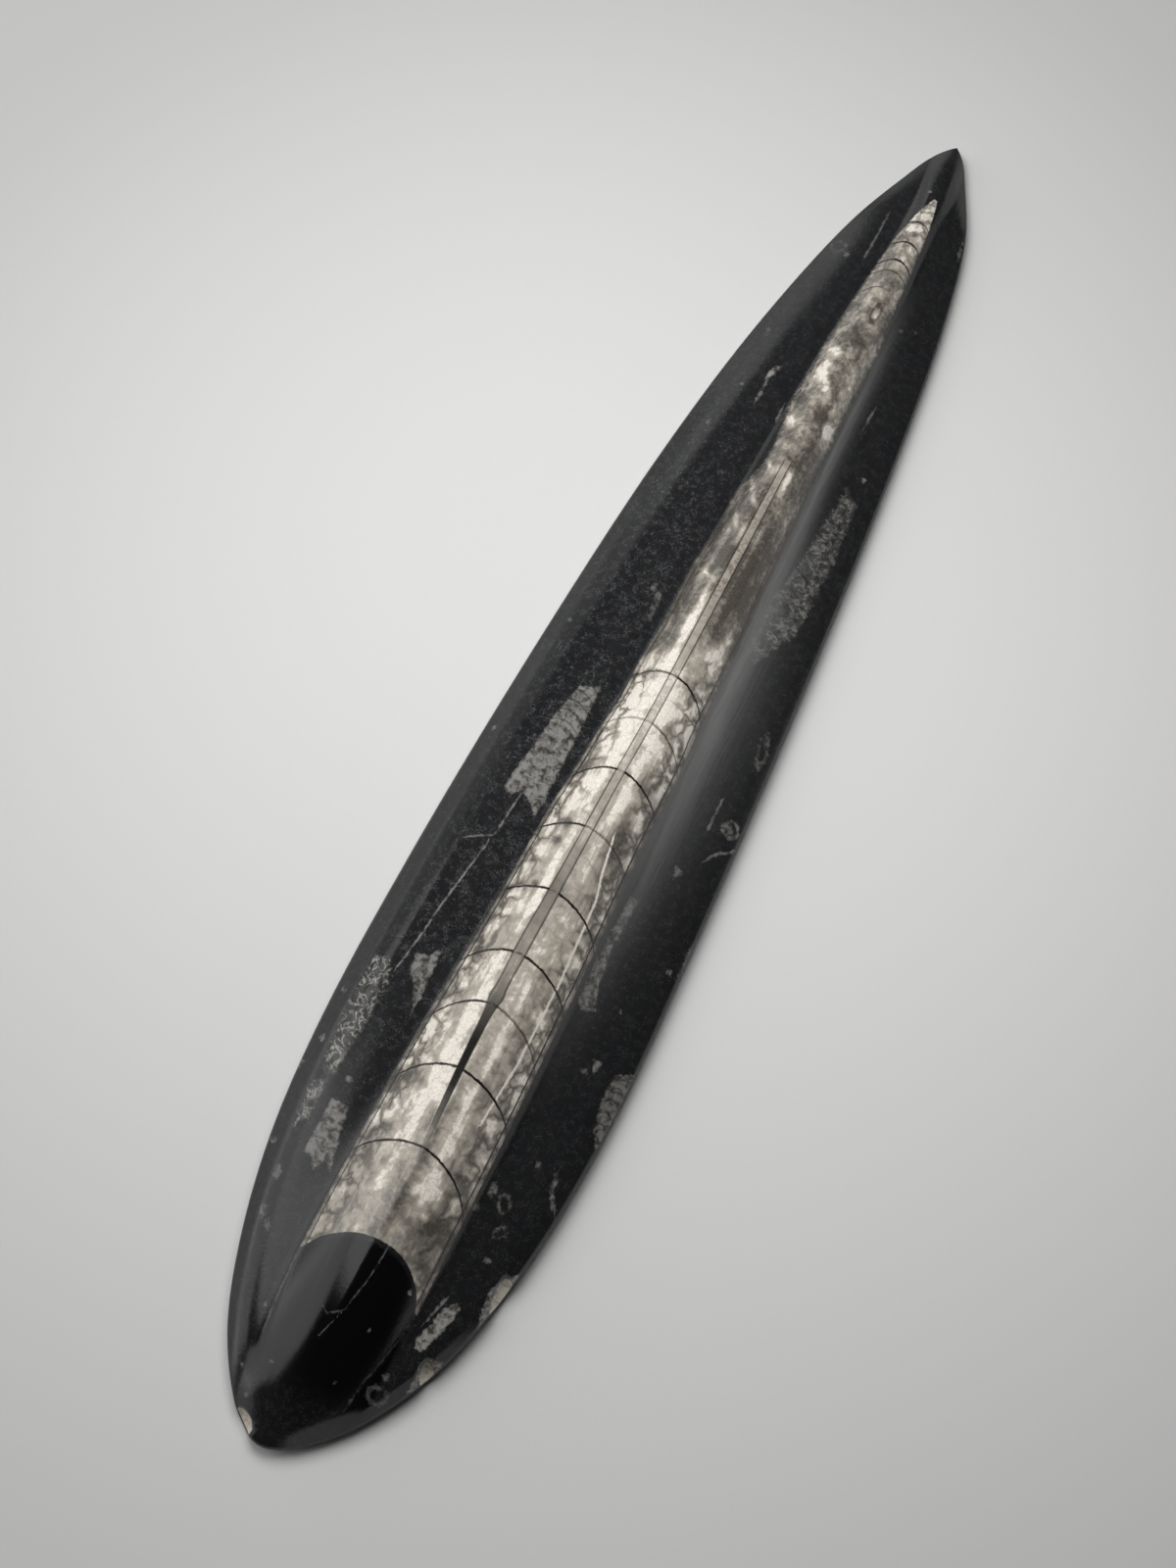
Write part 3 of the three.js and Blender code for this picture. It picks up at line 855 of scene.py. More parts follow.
    def fields(self, x: Field, y: Field) -> dict[str, Field]:
        """The numbers that the finish draws the fossil from.

        Args:
            x: Across the stone.
            y: Along the stone.

        Returns:
            One field for each name.
        """
        from_left = x - through(self.left_wall, y)
        from_right = through(self.right_wall, y) - x
        above_mouth = y - through(self.mouth, x)
        middle = through(self.tube_middle, y)
        septum, strength = self.septum(x, y, middle)
        thread_and_glint, thread_and_glint_on = nearest_line(self.threads, x, y)
        starts = np.clip((y - self.tube_ends[0]) / self.tube_fades[0], 0, 1)
        stops = np.clip((self.tube_ends[1] - y) / self.tube_fades[1], 0, 1)
        cap = self.cap(y, np.minimum(from_left, from_right), above_mouth)
        return {
            "wall_left": from_left,
            "wall_right": from_right,
            "mouth": np.minimum(above_mouth, self.tip_bluntness * (self.tip - y)),
            "septum": septum,
            "septum_on": strength * np.clip(self.septum_reach - np.abs(septum) / self.septum_reach, 0, 1),
            "tube": (x - middle) / through(self.tube_half, y),
            "tube_on": starts * stops,
            "tube_dark": through(self.tube_dark, y),
            "thread_and_glint": thread_and_glint,
            "thread_and_glint_on": thread_and_glint_on,
            "tone": sum(patch.at(x, y) for patch in self.patches),
            "brushed": self.brushed(x, y),
            "walled": through(self.wall_strength, y),
            "haze": through(self.haze, y) * (1 - cap),
            "glow": through(self.glow, y),
            "mottle": through(self.mottle, y),
        }

    def septum(self, x: Field, y: Field, middle: Field) -> tuple[Field, Field]:
        """The nearest chamber wall, or the eyelet's rim.

        Args:
            x: Across the stone.
            y: Along the stone.
            middle: The middle of the tube.

        Returns:
            How far each point is above or below it, and how dark it is.
        """
        left, right = middle - through(self.left_wall, y), through(self.right_wall, y) - middle
        reach = (x - middle) / np.maximum(np.where(x < middle, left, right), self.narrowest)
        septum, dark = np.full(x.shape, FAR), np.zeros(x.shape)
        arcs = [(y - arc.height(reach), arc.strength(reach)) for arc in self.septa]
        for off, strength in (*arcs, (self.eyelet.inside(x, y), self.eyelet_strength)):
            nearer = np.abs(off) < np.abs(septum)
            septum = np.where(nearer, off, septum)
            dark = np.where(nearer, strength, dark)
        return septum, dark

    def cap(self, y: Field, within: Field, above_mouth: Field) -> Field:
        """Where the clear black stone that fills the shell's mouth is.

        Args:
            y: Along the stone.
            within: How far inside both walls each point is.
            above_mouth: How far above the calcite's lower edge.

        Returns:
            From 0, elsewhere, to 1, in it.
        """
        cap = np.clip(within / self.cap_edge, 0, 1) * np.clip(-above_mouth, 0, 1)
        return cap * np.clip((y - self.cap_end) / self.cap_fade, 0, 1) * (y < 0)

    def brushed(self, x: Field, y: Field) -> Field:
        """How brushed the groove on the right is, which the polish hardly reached, and how strongly a painted
        sheen lies over it.

        Args:
            x: Across the stone.
            y: Along the stone.

        Returns:
            From 0, polished, to 1, brushed and under the full painted sheen.
        """
        off = x - through(self.brushed_middle, y)
        outer = np.exp(-np.abs(off / through(self.brushed_reach, y)) ** self.brushed_power)
        inner = np.exp(-((off / self.brushed_inner) ** 2))
        return through(self.brushed_strength, y) * np.where(off > 0, outer, inner)


@dataclass
class Neighbours:
    """The small fossils, veins and flecks in the limestone round the orthoceras."""

    relics: tuple[Spot | Shard, ...] = (
        Shard(((-12, -0.3), (-8.7, 1.3), (-8.4, -8), (-8.1, -20), (-8.3, -23.2), (-10, -21.6),
               (-12, -20.2), (-13.4, -21.6), (-15, -21), (-14.8, -19), (-14.2, -14.5), (-13.2, -6)),
              0.62, 1.9, 0.1, -8.5),
        Shard(((-14.5, -51), (-12.5, -50.4), (-11.2, -48.5), (-10.5, -56), (-10.6, -59.3),
               (-12.5, -55.5), (-14, -54)), 0.6),
        Shard(((-20.3, -54), (-17.5, -53.5), (-16, -58), (-16.5, -73), (-18.6, -74), (-20.2, -66)),
              0.75, lace=1.0, firmness=0.6),
        Shard(((-19.5, -75), (-17.2, -74), (-16.8, -80), (-18.6, -83)), 0.7, lace=0.8, firmness=0.6),
        Shard(((-15.1, -76.3), (-12.3, -76.3), (-11.3, -81), (-10.1, -86), (-11.6, -85), (-12.6, -87),
               (-14, -85.2), (-15.3, -85)), 0.55),
        Shard(((10.9, -28), (12.3, -28), (12.2, -38), (13.2, -44), (14.4, -46.5), (12.6, -47.5),
               (11.2, -46.8), (10.8, -40)), 0.45, 1.2, 1.0),
        Shard(((21.2, -53.5), (23.7, -52), (24.2, -58), (23.6, -65), (22.2, -63), (21, -58)), 0.5, 2.0, 0.6),
        Shard(((17.2, -53.2), (18.8, -53.0), (18.2, -55.4)), 0.5),
        Shard(((21.8, -86.3), (19.9, -88.2), (19.1, -90.5), (19.2, -93.5), (19.7, -96.2), (20.8, -96),
               (22.6, -91.5), (23.4, -87.5)), 0.85),
        Shard(((17.5, -102.6), (15.9, -102.8), (14.9, -105), (14.9, -108.7), (16.2, -107.5), (17.6, -105)),
              0.8),
        Shard(((15.7, -94), (16.5, -95), (15.6, -98.6), (14.2, -102.6), (13.1, -102.7), (12.6, -101),
               (13.6, -98.6), (14, -96.3)), 0.9),
        Shard(((-9.7, 65), (-8.4, 65), (-7.4, 67.8), (-8.9, 67.4)), 0.8),
        Shard(((9.4, 17), (11.5, 16), (15.3, 24), (15.5, 38), (14.4, 50), (11.6, 52), (10.8, 40), (9.4, 28)),
              0.42, firmness=0.6, lace=0.7),
        Shard(((12.3, 36), (14, 35), (14.6, 38.4), (13, 38.6)), 0.6),
        Shard(((11.4, 42), (12.4, 42.5), (12.7, 49), (11.5, 48)), 0.4),
        Shard(((15, -20.2), (16.8, -20.4), (15.6, -22.2)), 0.4),
        Spot(20, -10.5, 1.6, 1.6, 0.55, 0, 0.55), Spot(20, -10.5, 0.7, 0.7, 0.35),
        Spot(-17, -69.5, 0.7, 0.5, 0.8, 40), Spot(-18.5, -71.6, 0.9, 0.4, 0.8, -30),
        Spot(-14.2, -72.7, 0.6, 0.5, 0.5), Spot(-21.5, -68.7, 0.5, 0.7, 0.5),
        Spot(-22.3, -60.5, 0.5, 0.5, 0.45), Spot(-22.8, -73.5, 0.4, 0.8, 0.5),
        Spot(-20.8, -85.5, 0.7, 0.5, 0.4), Spot(-9.5, -107, 0.4, 0.4, 0.4), Spot(-8.5, -116, 0.4, 0.3, 0.4),
        Spot(-6, -119.5, 0.5, 0.3, 0.4), Spot(-21.5, -12, 0.4, 0.5, 0.35), Spot(-7.5, 18, 0.6, 3, 0.28, 8),
        Spot(-9, 20.7, 0.6, 0.8, 0.35), Spot(-19, 10, 0.5, 0.4, 0.3), Spot(-14.6, 53, 0.4, 0.5, 0.3),
        Spot(-12.5, 62, 0.4, 0.4, 0.3), Spot(-9.5, 95.5, 1.5, 1.5, 0.2, 0, 0.5),
        Spot(-7.3, 94, 0.5, 0.6, 0.35), Spot(-13.2, 74, 0.5, 0.8, 0.25), Spot(12.8, -77.5, 0.6, 1.3, 0.45),
        Spot(15.2, -78.5, 1.1, 1.5, 0.4, 20, 0.5), Spot(16.5, -82.5, 0.9, 1.2, 0.35, -30, 0.4),
        Spot(11.7, -81, 0.5, 0.6, 0.4), Spot(17, -71, 0.5, 0.5, 0.4), Spot(16.6, -86.8, 0.6, 0.5, 0.4),
        Spot(16.8, -55.5, 0.6, 0.5, 0.4), Spot(11.2, -108, 0.5, 0.5, 0.5),
        Spot(11.3, -111, 1.7, 1.5, 0.3, 0, 0.6), Spot(10, 105, 0.3, 2.2, 0.35, 8),
        Spot(9.7, 85, 0.3, 0.3, 0.7), Spot(7.5, 83.7, 0.25, 0.25, 0.7), Spot(17.7, -44.7, 0.3, 0.3, 0.8),
        Spot(0.6, 112, 0.3, 0.3, 0.5), Spot(13.5, 55, 0.3, 0.4, 0.6), Spot(21.5, -35.5, 0.4, 0.5, 0.5),
        Spot(23, -32, 0.4, 2.8, 0.35), Spot(19, 3.5, 1.0, 3, 0.3, 10, 0.5), Spot(9.2, -96.1, 0.3, 0.3, 0.9),
        Spot(-4.5, -113.7, 0.25, 0.25, 0.8), Spot(6.4, -103.4, 0.2, 0.2, 0.8),
        Spot(8.2, -113.2, 0.25, 0.25, 0.6), Spot(5.3, -112, 0.2, 0.2, 0.6),
        Spot(-17.5, -89.5, 0.8, 1.2, 0.3, 20), Spot(-16.5, -95.5, 0.7, 1.1, 0.3, 25),
        Spot(-14.8, -97, 0.5, 0.8, 0.3, 25),
    )
    veins_and_glints: tuple[Vein, ...] = (
        Vein(((-12, -21.5), (-12.5, -28), (-13, -31), (-13.6, -35), (-14.6, -42), (-15.3, -49), (-16, -54)),
             0.22, 0.55),
        Vein(((-13, -29), (-14.8, -30), (-16.5, -31)), 0.2, 0.35),
        Vein(((3.6, -92), (3.4, -95), (3.1, -97.5), (2.5, -100), (2, -102.5), (1.1, -105), (0.4, -107)),
             0.16, 0.25),
        Vein(((-0.8, -103.5), (0, -104), (1.6, -102.8)), 0.2, 0.25),
        Vein(((11, -99), (10.5, -103), (9.6, -107), (8.8, -110), (8, -115)), 0.25, 0.12),
        # A painted highlight: the thin light line along a ridge beside the dome, not a vein.
        Vein(((-8.7, -98), (-8.4, -105), (-7.8, -112)), 0.25, 0.16),
        Vein(((13.8, -94.6), (13.3, -96.6), (12.8, -98.5)), 0.3, 0.5),
        Vein(((-4.2, 94.5), (-4.1, 100), (-4.2, 105)), 0.3, 0.3),
        Vein(((-4.2, 58), (-4.2, 60.5)), 0.3, 0.35),
        Vein(((-9, 65), (-8.8, 60)), 0.45, 0.5),
        Vein(((16.8, -7), (16.9, -12.5)), 0.3, 0.35),
        Vein(((22, -13), (20.9, -14.2), (20, -14.8), (19, -16.5)), 0.35, 0.45),
        Vein(((20.2, -71), (20.3, -72.8), (20.8, -74), (22, -75.7)), 0.5, 0.5),
        Vein(((9.6, 64), (9.7, 67.5)), 0.3, 0.35),
    )
    fleck_middle: Place = (-12.0, -5.0)
    fleck_reach: Place = (7.5, 62.0)

    def fields(self, x: Field, y: Field) -> dict[str, Field]:
        """The numbers that the finish draws the small fossils from.

        Args:
            x: Across the stone.
            y: Along the stone.

        Returns:
            One field for each name.
        """
        relic, tone = np.full(x.shape, -9.0), np.zeros(x.shape)
        stripe, striped, lace = np.zeros(x.shape), np.zeros(x.shape), np.zeros(x.shape)
        for piece in self.relics:
            depth = piece.inside(x, y)
            front = (depth > relic) & ((depth > 0) | (relic < 0))
            relic = np.where(front, depth, relic)
            tone = np.where(front, piece.tone, tone)
            lace = np.where(front, piece.lace if isinstance(piece, Shard) else 0.0, lace)
            striped = np.where(front, 0.0, striped)
            if isinstance(piece, Shard) and piece.stripe > 0:
                middle = sum(corner[0] for corner in piece.corners) / len(piece.corners)
                bend = piece.lean * np.abs(x - middle) + piece.bow * (x - middle) ** 2
                stripe = np.where(front, (y + bend) / piece.stripe, stripe)
                striped = np.where(front, np.clip(y - piece.striped_above, 0, 1), striped)
        vein_and_glint, vein_and_glint_on = nearest_line(self.veins_and_glints, x, y)
        across = (x - self.fleck_middle[0]) / self.fleck_reach[0]
        along = (y - self.fleck_middle[1]) / self.fleck_reach[1]
        flecks = np.exp(-(across**4) - along**4)
        return {
            "relic": relic, "relic_tone": tone, "stripe": stripe, "striped": striped, "lace": lace,
            "vein_and_glint": vein_and_glint, "vein_and_glint_on": vein_and_glint_on, "flecks": flecks,
        }


# --- Finishes -------------------------------------------------------------------------------------


class Sum(Enum):
    """The arithmetic that the finishes use."""

    ADD = "ADD"
    TAKE = "SUBTRACT"
    TIMES = "MULTIPLY"
    SIZE = "ABSOLUTE"
    LEAST = "MINIMUM"
    MOST = "MAXIMUM"
    FRACTION = "FRACT"


class Cells(Enum):
    """Where in a cell of grain its number is 0."""

    MIDDLE = "F1"
    EDGE = "DISTANCE_TO_EDGE"


@dataclass(frozen=True)
class Cloud:
    """Cloudy noise: clouds to the millimetre, finer layers, their strength, and how twisted it is."""

    scale: float
    detail: float = 2.0
    rough: float = 0.5
    twist: float = 0.0


@dataclass(frozen=True)
class Ramp:
    """A soft step: the values where it starts and ends, and the numbers before and after it."""

    low: float
    high: float
    start: float = 0.0
    end: float = 1.0


@dataclass
class Graph:
    """A shader drawn from nodes, with lengths in millimetres on the stone."""

    name: str

    def __post_init__(self) -> None:
        """Makes the empty material and its point in millimetres."""
        self.material = bpy.data.materials.new(self.name)
        self.material.use_nodes = True
        self.tree = self.material.node_tree
        self.tree.nodes.clear()
        coordinates = self.tree.nodes.new("ShaderNodeTexCoord")
        self.point = self.scaled(coordinates.outputs["Object"], (1 / UNIT,) * 3)

    def set(self, socket: Socket, feed: Feed | Colour) -> None:
        """Feeds an input.

        Args:
            socket: The input.
            feed: A number, a colour or another node's output.
        """
        if isinstance(feed, bpy.types.NodeSocket):
            self.tree.links.new(feed, socket)
        elif isinstance(feed, tuple) and socket.type == "RGBA":
            socket.default_value = (*feed, 1.0)
        else:
            socket.default_value = feed

    def vector(self, operation: str, *feeds: Socket | Triple) -> bpy.types.Node:
        """Arithmetic on vectors.

        Args:
            operation: What is done.
            feeds: The vectors.

        Returns:
            The node.
        """
        node = self.tree.nodes.new("ShaderNodeVectorMath")
        node.operation = operation
        for socket, feed in zip(node.inputs, feeds, strict=False):
            self.set(socket, feed)
        return node

    def scaled(self, vector: Socket, by: Triple) -> Socket:
        """A vector with each part multiplied."""
        return self.vector("MULTIPLY", vector, by).outputs[0]

    def radius(self) -> Socket:
        """How far a point is from the middle of the stone."""
        return self.vector("LENGTH", self.point).outputs["Value"]

    def pulled(self, cloud: Cloud, amount: float) -> Socket:
        """The stone's point pulled about by noise, for wandering edges."""
        noise = self.clouds(cloud).outputs["Color"]
        return self.vector("MULTIPLY_ADD", noise, (amount,) * 3, self.point).outputs[0]

    def mesh(self, name: str) -> Socket:
        """A number kept in the mesh.

        Args:
            name: The name it is kept under.

        Returns:
            The number.
        """
        node = self.tree.nodes.new("ShaderNodeAttribute")
        node.attribute_name = name
        return node.outputs["Fac"]

    def sum(self, operation: Sum, a: Feed, b: Feed = 0.0) -> Socket:
        """Arithmetic on two numbers.

        Args:
            operation: What is done.
            a: The first number.
            b: The second, where the operation has one.

        Returns:
            The result.
        """
        node = self.tree.nodes.new("ShaderNodeMath")
        node.operation = operation.value
        self.set(node.inputs[0], a)
        self.set(node.inputs[1], b)
        return node.outputs[0]

    def add(self, a: Feed, b: Feed) -> Socket:
        """The sum of two numbers."""
        return self.sum(Sum.ADD, a, b)

    def times(self, a: Feed, b: Feed) -> Socket:
        """The product of two numbers."""
        return self.sum(Sum.TIMES, a, b)

    def shifted(self, value: Feed, by: Feed, amount: Feed) -> Socket:
        """A number shifted by so much of another, such as an edge by noise."""
        return self.add(value, self.times(by, amount))

    def centred(self, noise: Socket) -> Socket:
        """Noise made to rise and fall about 0."""
        return self.sum(Sum.TAKE, noise, HALF)

    def apart(self, value: Socket, mark: float) -> Socket:
        """How far a number is from a mark, either way."""
        return self.sum(Sum.SIZE, self.sum(Sum.TAKE, value, mark))

    def step(self, value: Feed, low: Feed, high: Feed, start: Feed = 0.0, end: Feed = 1.0) -> Socket:
        """A soft step from one number to another.

        Args:
            value: What the step follows.
            low: The value where it starts.
            high: The value where it ends.
            start: The number before it.
            end: The number after it.

        Returns:
            The number.
        """
        node = self.tree.nodes.new("ShaderNodeMapRange")
        node.interpolation_type = "SMOOTHSTEP"
        for socket, feed in zip(node.inputs, (value, low, high, start, end), strict=False):
            self.set(socket, feed)
        return node.outputs[0]

    def ramp(self, value: Socket, ramp: Ramp) -> Socket:
        """A soft step of fixed size."""
        return self.step(value, ramp.low, ramp.high, ramp.start, ramp.end)

    def clouds(self, cloud: Cloud, at: Socket | None = None) -> bpy.types.Node:
        """Cloudy noise.

        Args:
            cloud: What it is like.
            at: Where it is taken, the stone's own point if not given.

        Returns:
            The node.
        """
        node = self.tree.nodes.new("ShaderNodeTexNoise")
        self.set(node.inputs["Vector"], self.point if at is None else at)
        names = ("Scale", "Detail", "Roughness", "Distortion")
        for name, number in zip(names, (cloud.scale, cloud.detail, cloud.rough, cloud.twist), strict=True):
            node.inputs[name].default_value = number
        return node

    def noise(self, cloud: Cloud, at: Socket | None = None) -> Socket:
        """Cloudy noise as a number."""
        return self.clouds(cloud, at).outputs["Fac"]

    def cells(self, scale: float, kind: Cells, at: Socket | None = None) -> Socket:
        """Cells of grain.

        Args:
            scale: Cells to the millimetre.
            kind: Whether the number is 0 at a cell's middle or at its edge.
            at: Where it is taken, the stone's own point if not given.

        Returns:
            How far a point is from there.
        """
        node = self.tree.nodes.new("ShaderNodeTexVoronoi")
        node.feature = kind.value
        self.set(node.inputs["Vector"], self.point if at is None else at)
        node.inputs["Scale"].default_value = scale
        return node.outputs["Distance"]

    def over(self, under: Feed | Colour, top: Feed | Colour, share: Feed) -> Socket:
        """One colour over another.

        Args:
            under: The colour below.
            top: The colour above.
            share: How much of it shows.

        Returns:
            The colour.
        """
        node = self.tree.nodes.new("ShaderNodeMix")
        node.data_type = "RGBA"
        self.set(node.inputs["Factor"], share)
        self.set(node.inputs[6], under)
        self.set(node.inputs[7], top)
        return node.outputs[2]

    def between(self, a: Feed, b: Feed, share: Feed) -> Socket:
        """A number between two.

        Args:
            a: The number at a share of 0.
            b: The number at a share of 1.
            share: The share.

        Returns:
            The number.
        """
        node = self.tree.nodes.new("ShaderNodeMix")
        self.set(node.inputs[0], share)
        self.set(node.inputs[2], a)
        self.set(node.inputs[3], b)
        return node.outputs[0]

    def finish(
        self, colour: Socket, roughness: Feed, height: Socket, relief: float, ior: float
    ) -> bpy.types.Node:
        """Ends the shader.

        Args:
            colour: The base colour.
            roughness: From polished at 0 to matt at 1.
            height: The fine relief, from 0 to 1.
            relief: How high the fine relief stands, in millimetres.
            ior: How strongly the polish reflects.

        Returns:
            The surface's own node.
        """
        bump = self.tree.nodes.new("ShaderNodeBump")
        bump.inputs["Distance"].default_value = relief * UNIT
        bump.inputs["Strength"].default_value = 1.0
        self.set(bump.inputs["Height"], height)
        shader = self.tree.nodes.new("ShaderNodeBsdfPrincipled")
        self.set(shader.inputs["Base Color"], colour)
        self.set(shader.inputs["Roughness"], roughness)
        self.set(shader.inputs["Normal"], bump.outputs["Normal"])
        shader.inputs["IOR"].default_value = ior
        output = self.tree.nodes.new("ShaderNodeOutputMaterial")
        self.tree.links.new(shader.outputs["BSDF"], output.inputs["Surface"])
        return shader


BLACK: Colour = (0.0075, 0.0078, 0.0085)
UMBER: Colour = (0.060, 0.052, 0.043)


@dataclass(frozen=True)
class Limestone:
    """Black limestone with pale flecks, small fossils and veins.

    A cloud is the noise that a thing is drawn from, a ramp is how it turns into a share, a fray is how far an
    edge wanders, and a share is how strongly a thing shows.
    """

    soot: Colour = (0.0035, 0.0035, 0.004)
    haze: Colour = (0.030, 0.0306, 0.032)
    ash: Colour = (0.18, 0.184, 0.188)
    shell_grey: Colour = (0.36, 0.352, 0.33)
    bank: Cloud = Cloud(0.35, 4, 0.6)
    bank_ramp: Ramp = Ramp(0.25, 0.75, 0.75, 1.1)
    bare_ramp: Ramp = Ramp(0.0, 0.12)
    grit: Cloud = Cloud(6.0, 2, 0.6)
    grit_ramp: Ramp = Ramp(0.64, 0.78, 0.0, 0.7)
    curl: Cloud = Cloud(2.1, 2, 0.55, 0.9)
    curl_ramp: Ramp = Ramp(0.03, 0.004)
    curl_places: Cloud = Cloud(0.9, 2)
    curl_places_ramp: Ramp = Ramp(0.42, 0.6)
    thick_ramp: Ramp = Ramp(0.3, 0.6, 0.3, 1.0)
    fleck_share: Pair = (0.2, 0.75)
    edge: Cloud = Cloud(1.4, 5, 0.7)
    vein_fray: float = 2.6
    vein_ramp: Ramp = Ramp(1.0, 0.35)
    vein_gaps_ramp: Ramp = Ramp(0.36, 0.6, 0.1, 1.0)
    body: Cloud = Cloud(0.9, 4, 0.62, 0.5)
    body_ramp: Ramp = Ramp(0.34, 0.62)
    specks: Cloud = Cloud(3.5, 3, 0.6)
    specks_ramp: Ramp = Ramp(0.5, 0.72, 0.0, 0.3)
    stripe_ramp: Ramp = Ramp(0.12, 0.02)
    stripe_share: float = 0.6
    web: Cloud = Cloud(0.5, 2, 0.55, 1.0)
    web_ramp: Ramp = Ramp(0.06, 0.01, 0.16, 1.3)
    relic_fray: float = 1.5
    relic_ramp: Ramp = Ramp(-0.15, 0.25)

    def paint(self, g: Graph) -> Socket:
        """The colour of the limestone.

        Args:
            g: The shader being drawn.

        Returns:
            The colour.
        """
        bank, haze = g.noise(self.bank), g.mesh("haze")
        bare = g.ramp(haze, self.bare_ramp)
        stone = g.over(BLACK, self.haze, g.times(haze, g.ramp(bank, self.bank_ramp)))
        share = g.times(g.times(self.flecks(g), bare), self.thickness(g, bank))
        colour = g.over(g.over(self.soot, stone, bare), self.ash, share)
        fray, body = g.centred(g.noise(self.edge)), g.noise(self.body)
        colour = g.over(colour, self.relic(g, body), self.relic_share(g, fray))
        # Grey veins, and one painted highlight line beside the dome.
        vein_and_glint = g.ramp(g.sum(Sum.SIZE, g.shifted(g.mesh("vein_and_glint"), fray, self.vein_fray)), self.vein_ramp)
        share = g.times(g.times(vein_and_glint, g.mesh("vein_and_glint_on")), g.ramp(body, self.vein_gaps_ramp))
        return g.over(colour, self.shell_grey, share)

    def flecks(self, g: Graph) -> Socket:
        """Pale grit and curled threads of shell.

        Args:
            g: The shader being drawn.

        Returns:
            From 0 where there are none to 1.
        """
        curl = g.ramp(g.apart(g.noise(self.curl), HALF), self.curl_ramp)
        curl = g.times(curl, g.ramp(g.noise(self.curl_places), self.curl_places_ramp))
        return g.sum(Sum.MOST, g.ramp(g.noise(self.grit), self.grit_ramp), curl)

    def thickness(self, g: Graph, bank: Socket) -> Socket:
        """How thickly the flecks lie."""
        thick = g.times(g.mesh("flecks"), g.ramp(bank, self.thick_ramp))
        return g.between(*self.fleck_share, thick)

    def relic(self, g: Graph, body: Socket) -> Socket:
        """The small fossils' own stone.

        Args:
            g: The shader being drawn.
            body: The clouds in it.

        Returns:
            The colour.
        """
        colour = g.over(UMBER, self.shell_grey, g.ramp(body, self.body_ramp))
        colour = g.over(colour, BLACK, g.ramp(g.noise(self.specks), self.specks_ramp))
        stripe = g.apart(g.sum(Sum.FRACTION, g.mesh("stripe")), HALF)
        arcs = g.times(g.ramp(stripe, self.stripe_ramp), g.mesh("striped"))
        return g.over(colour, BLACK, g.times(arcs, self.stripe_share))

    def relic_share(self, g: Graph, fray: Socket) -> Socket:
        """Where the small fossils show, and how strongly.

        Args:
            g: The shader being drawn.
            fray: How far their edges wander here.

        Returns:
            From 0 in the limestone to the fossil's own tone.
        """
        netting = g.ramp(g.apart(g.noise(self.web), HALF), self.web_ramp)
        inside = g.ramp(g.shifted(g.mesh("relic"), fray, self.relic_fray), self.relic_ramp)
        return g.times(g.times(inside, g.mesh("relic_tone")), g.between(1.0, netting, g.mesh("lace")))


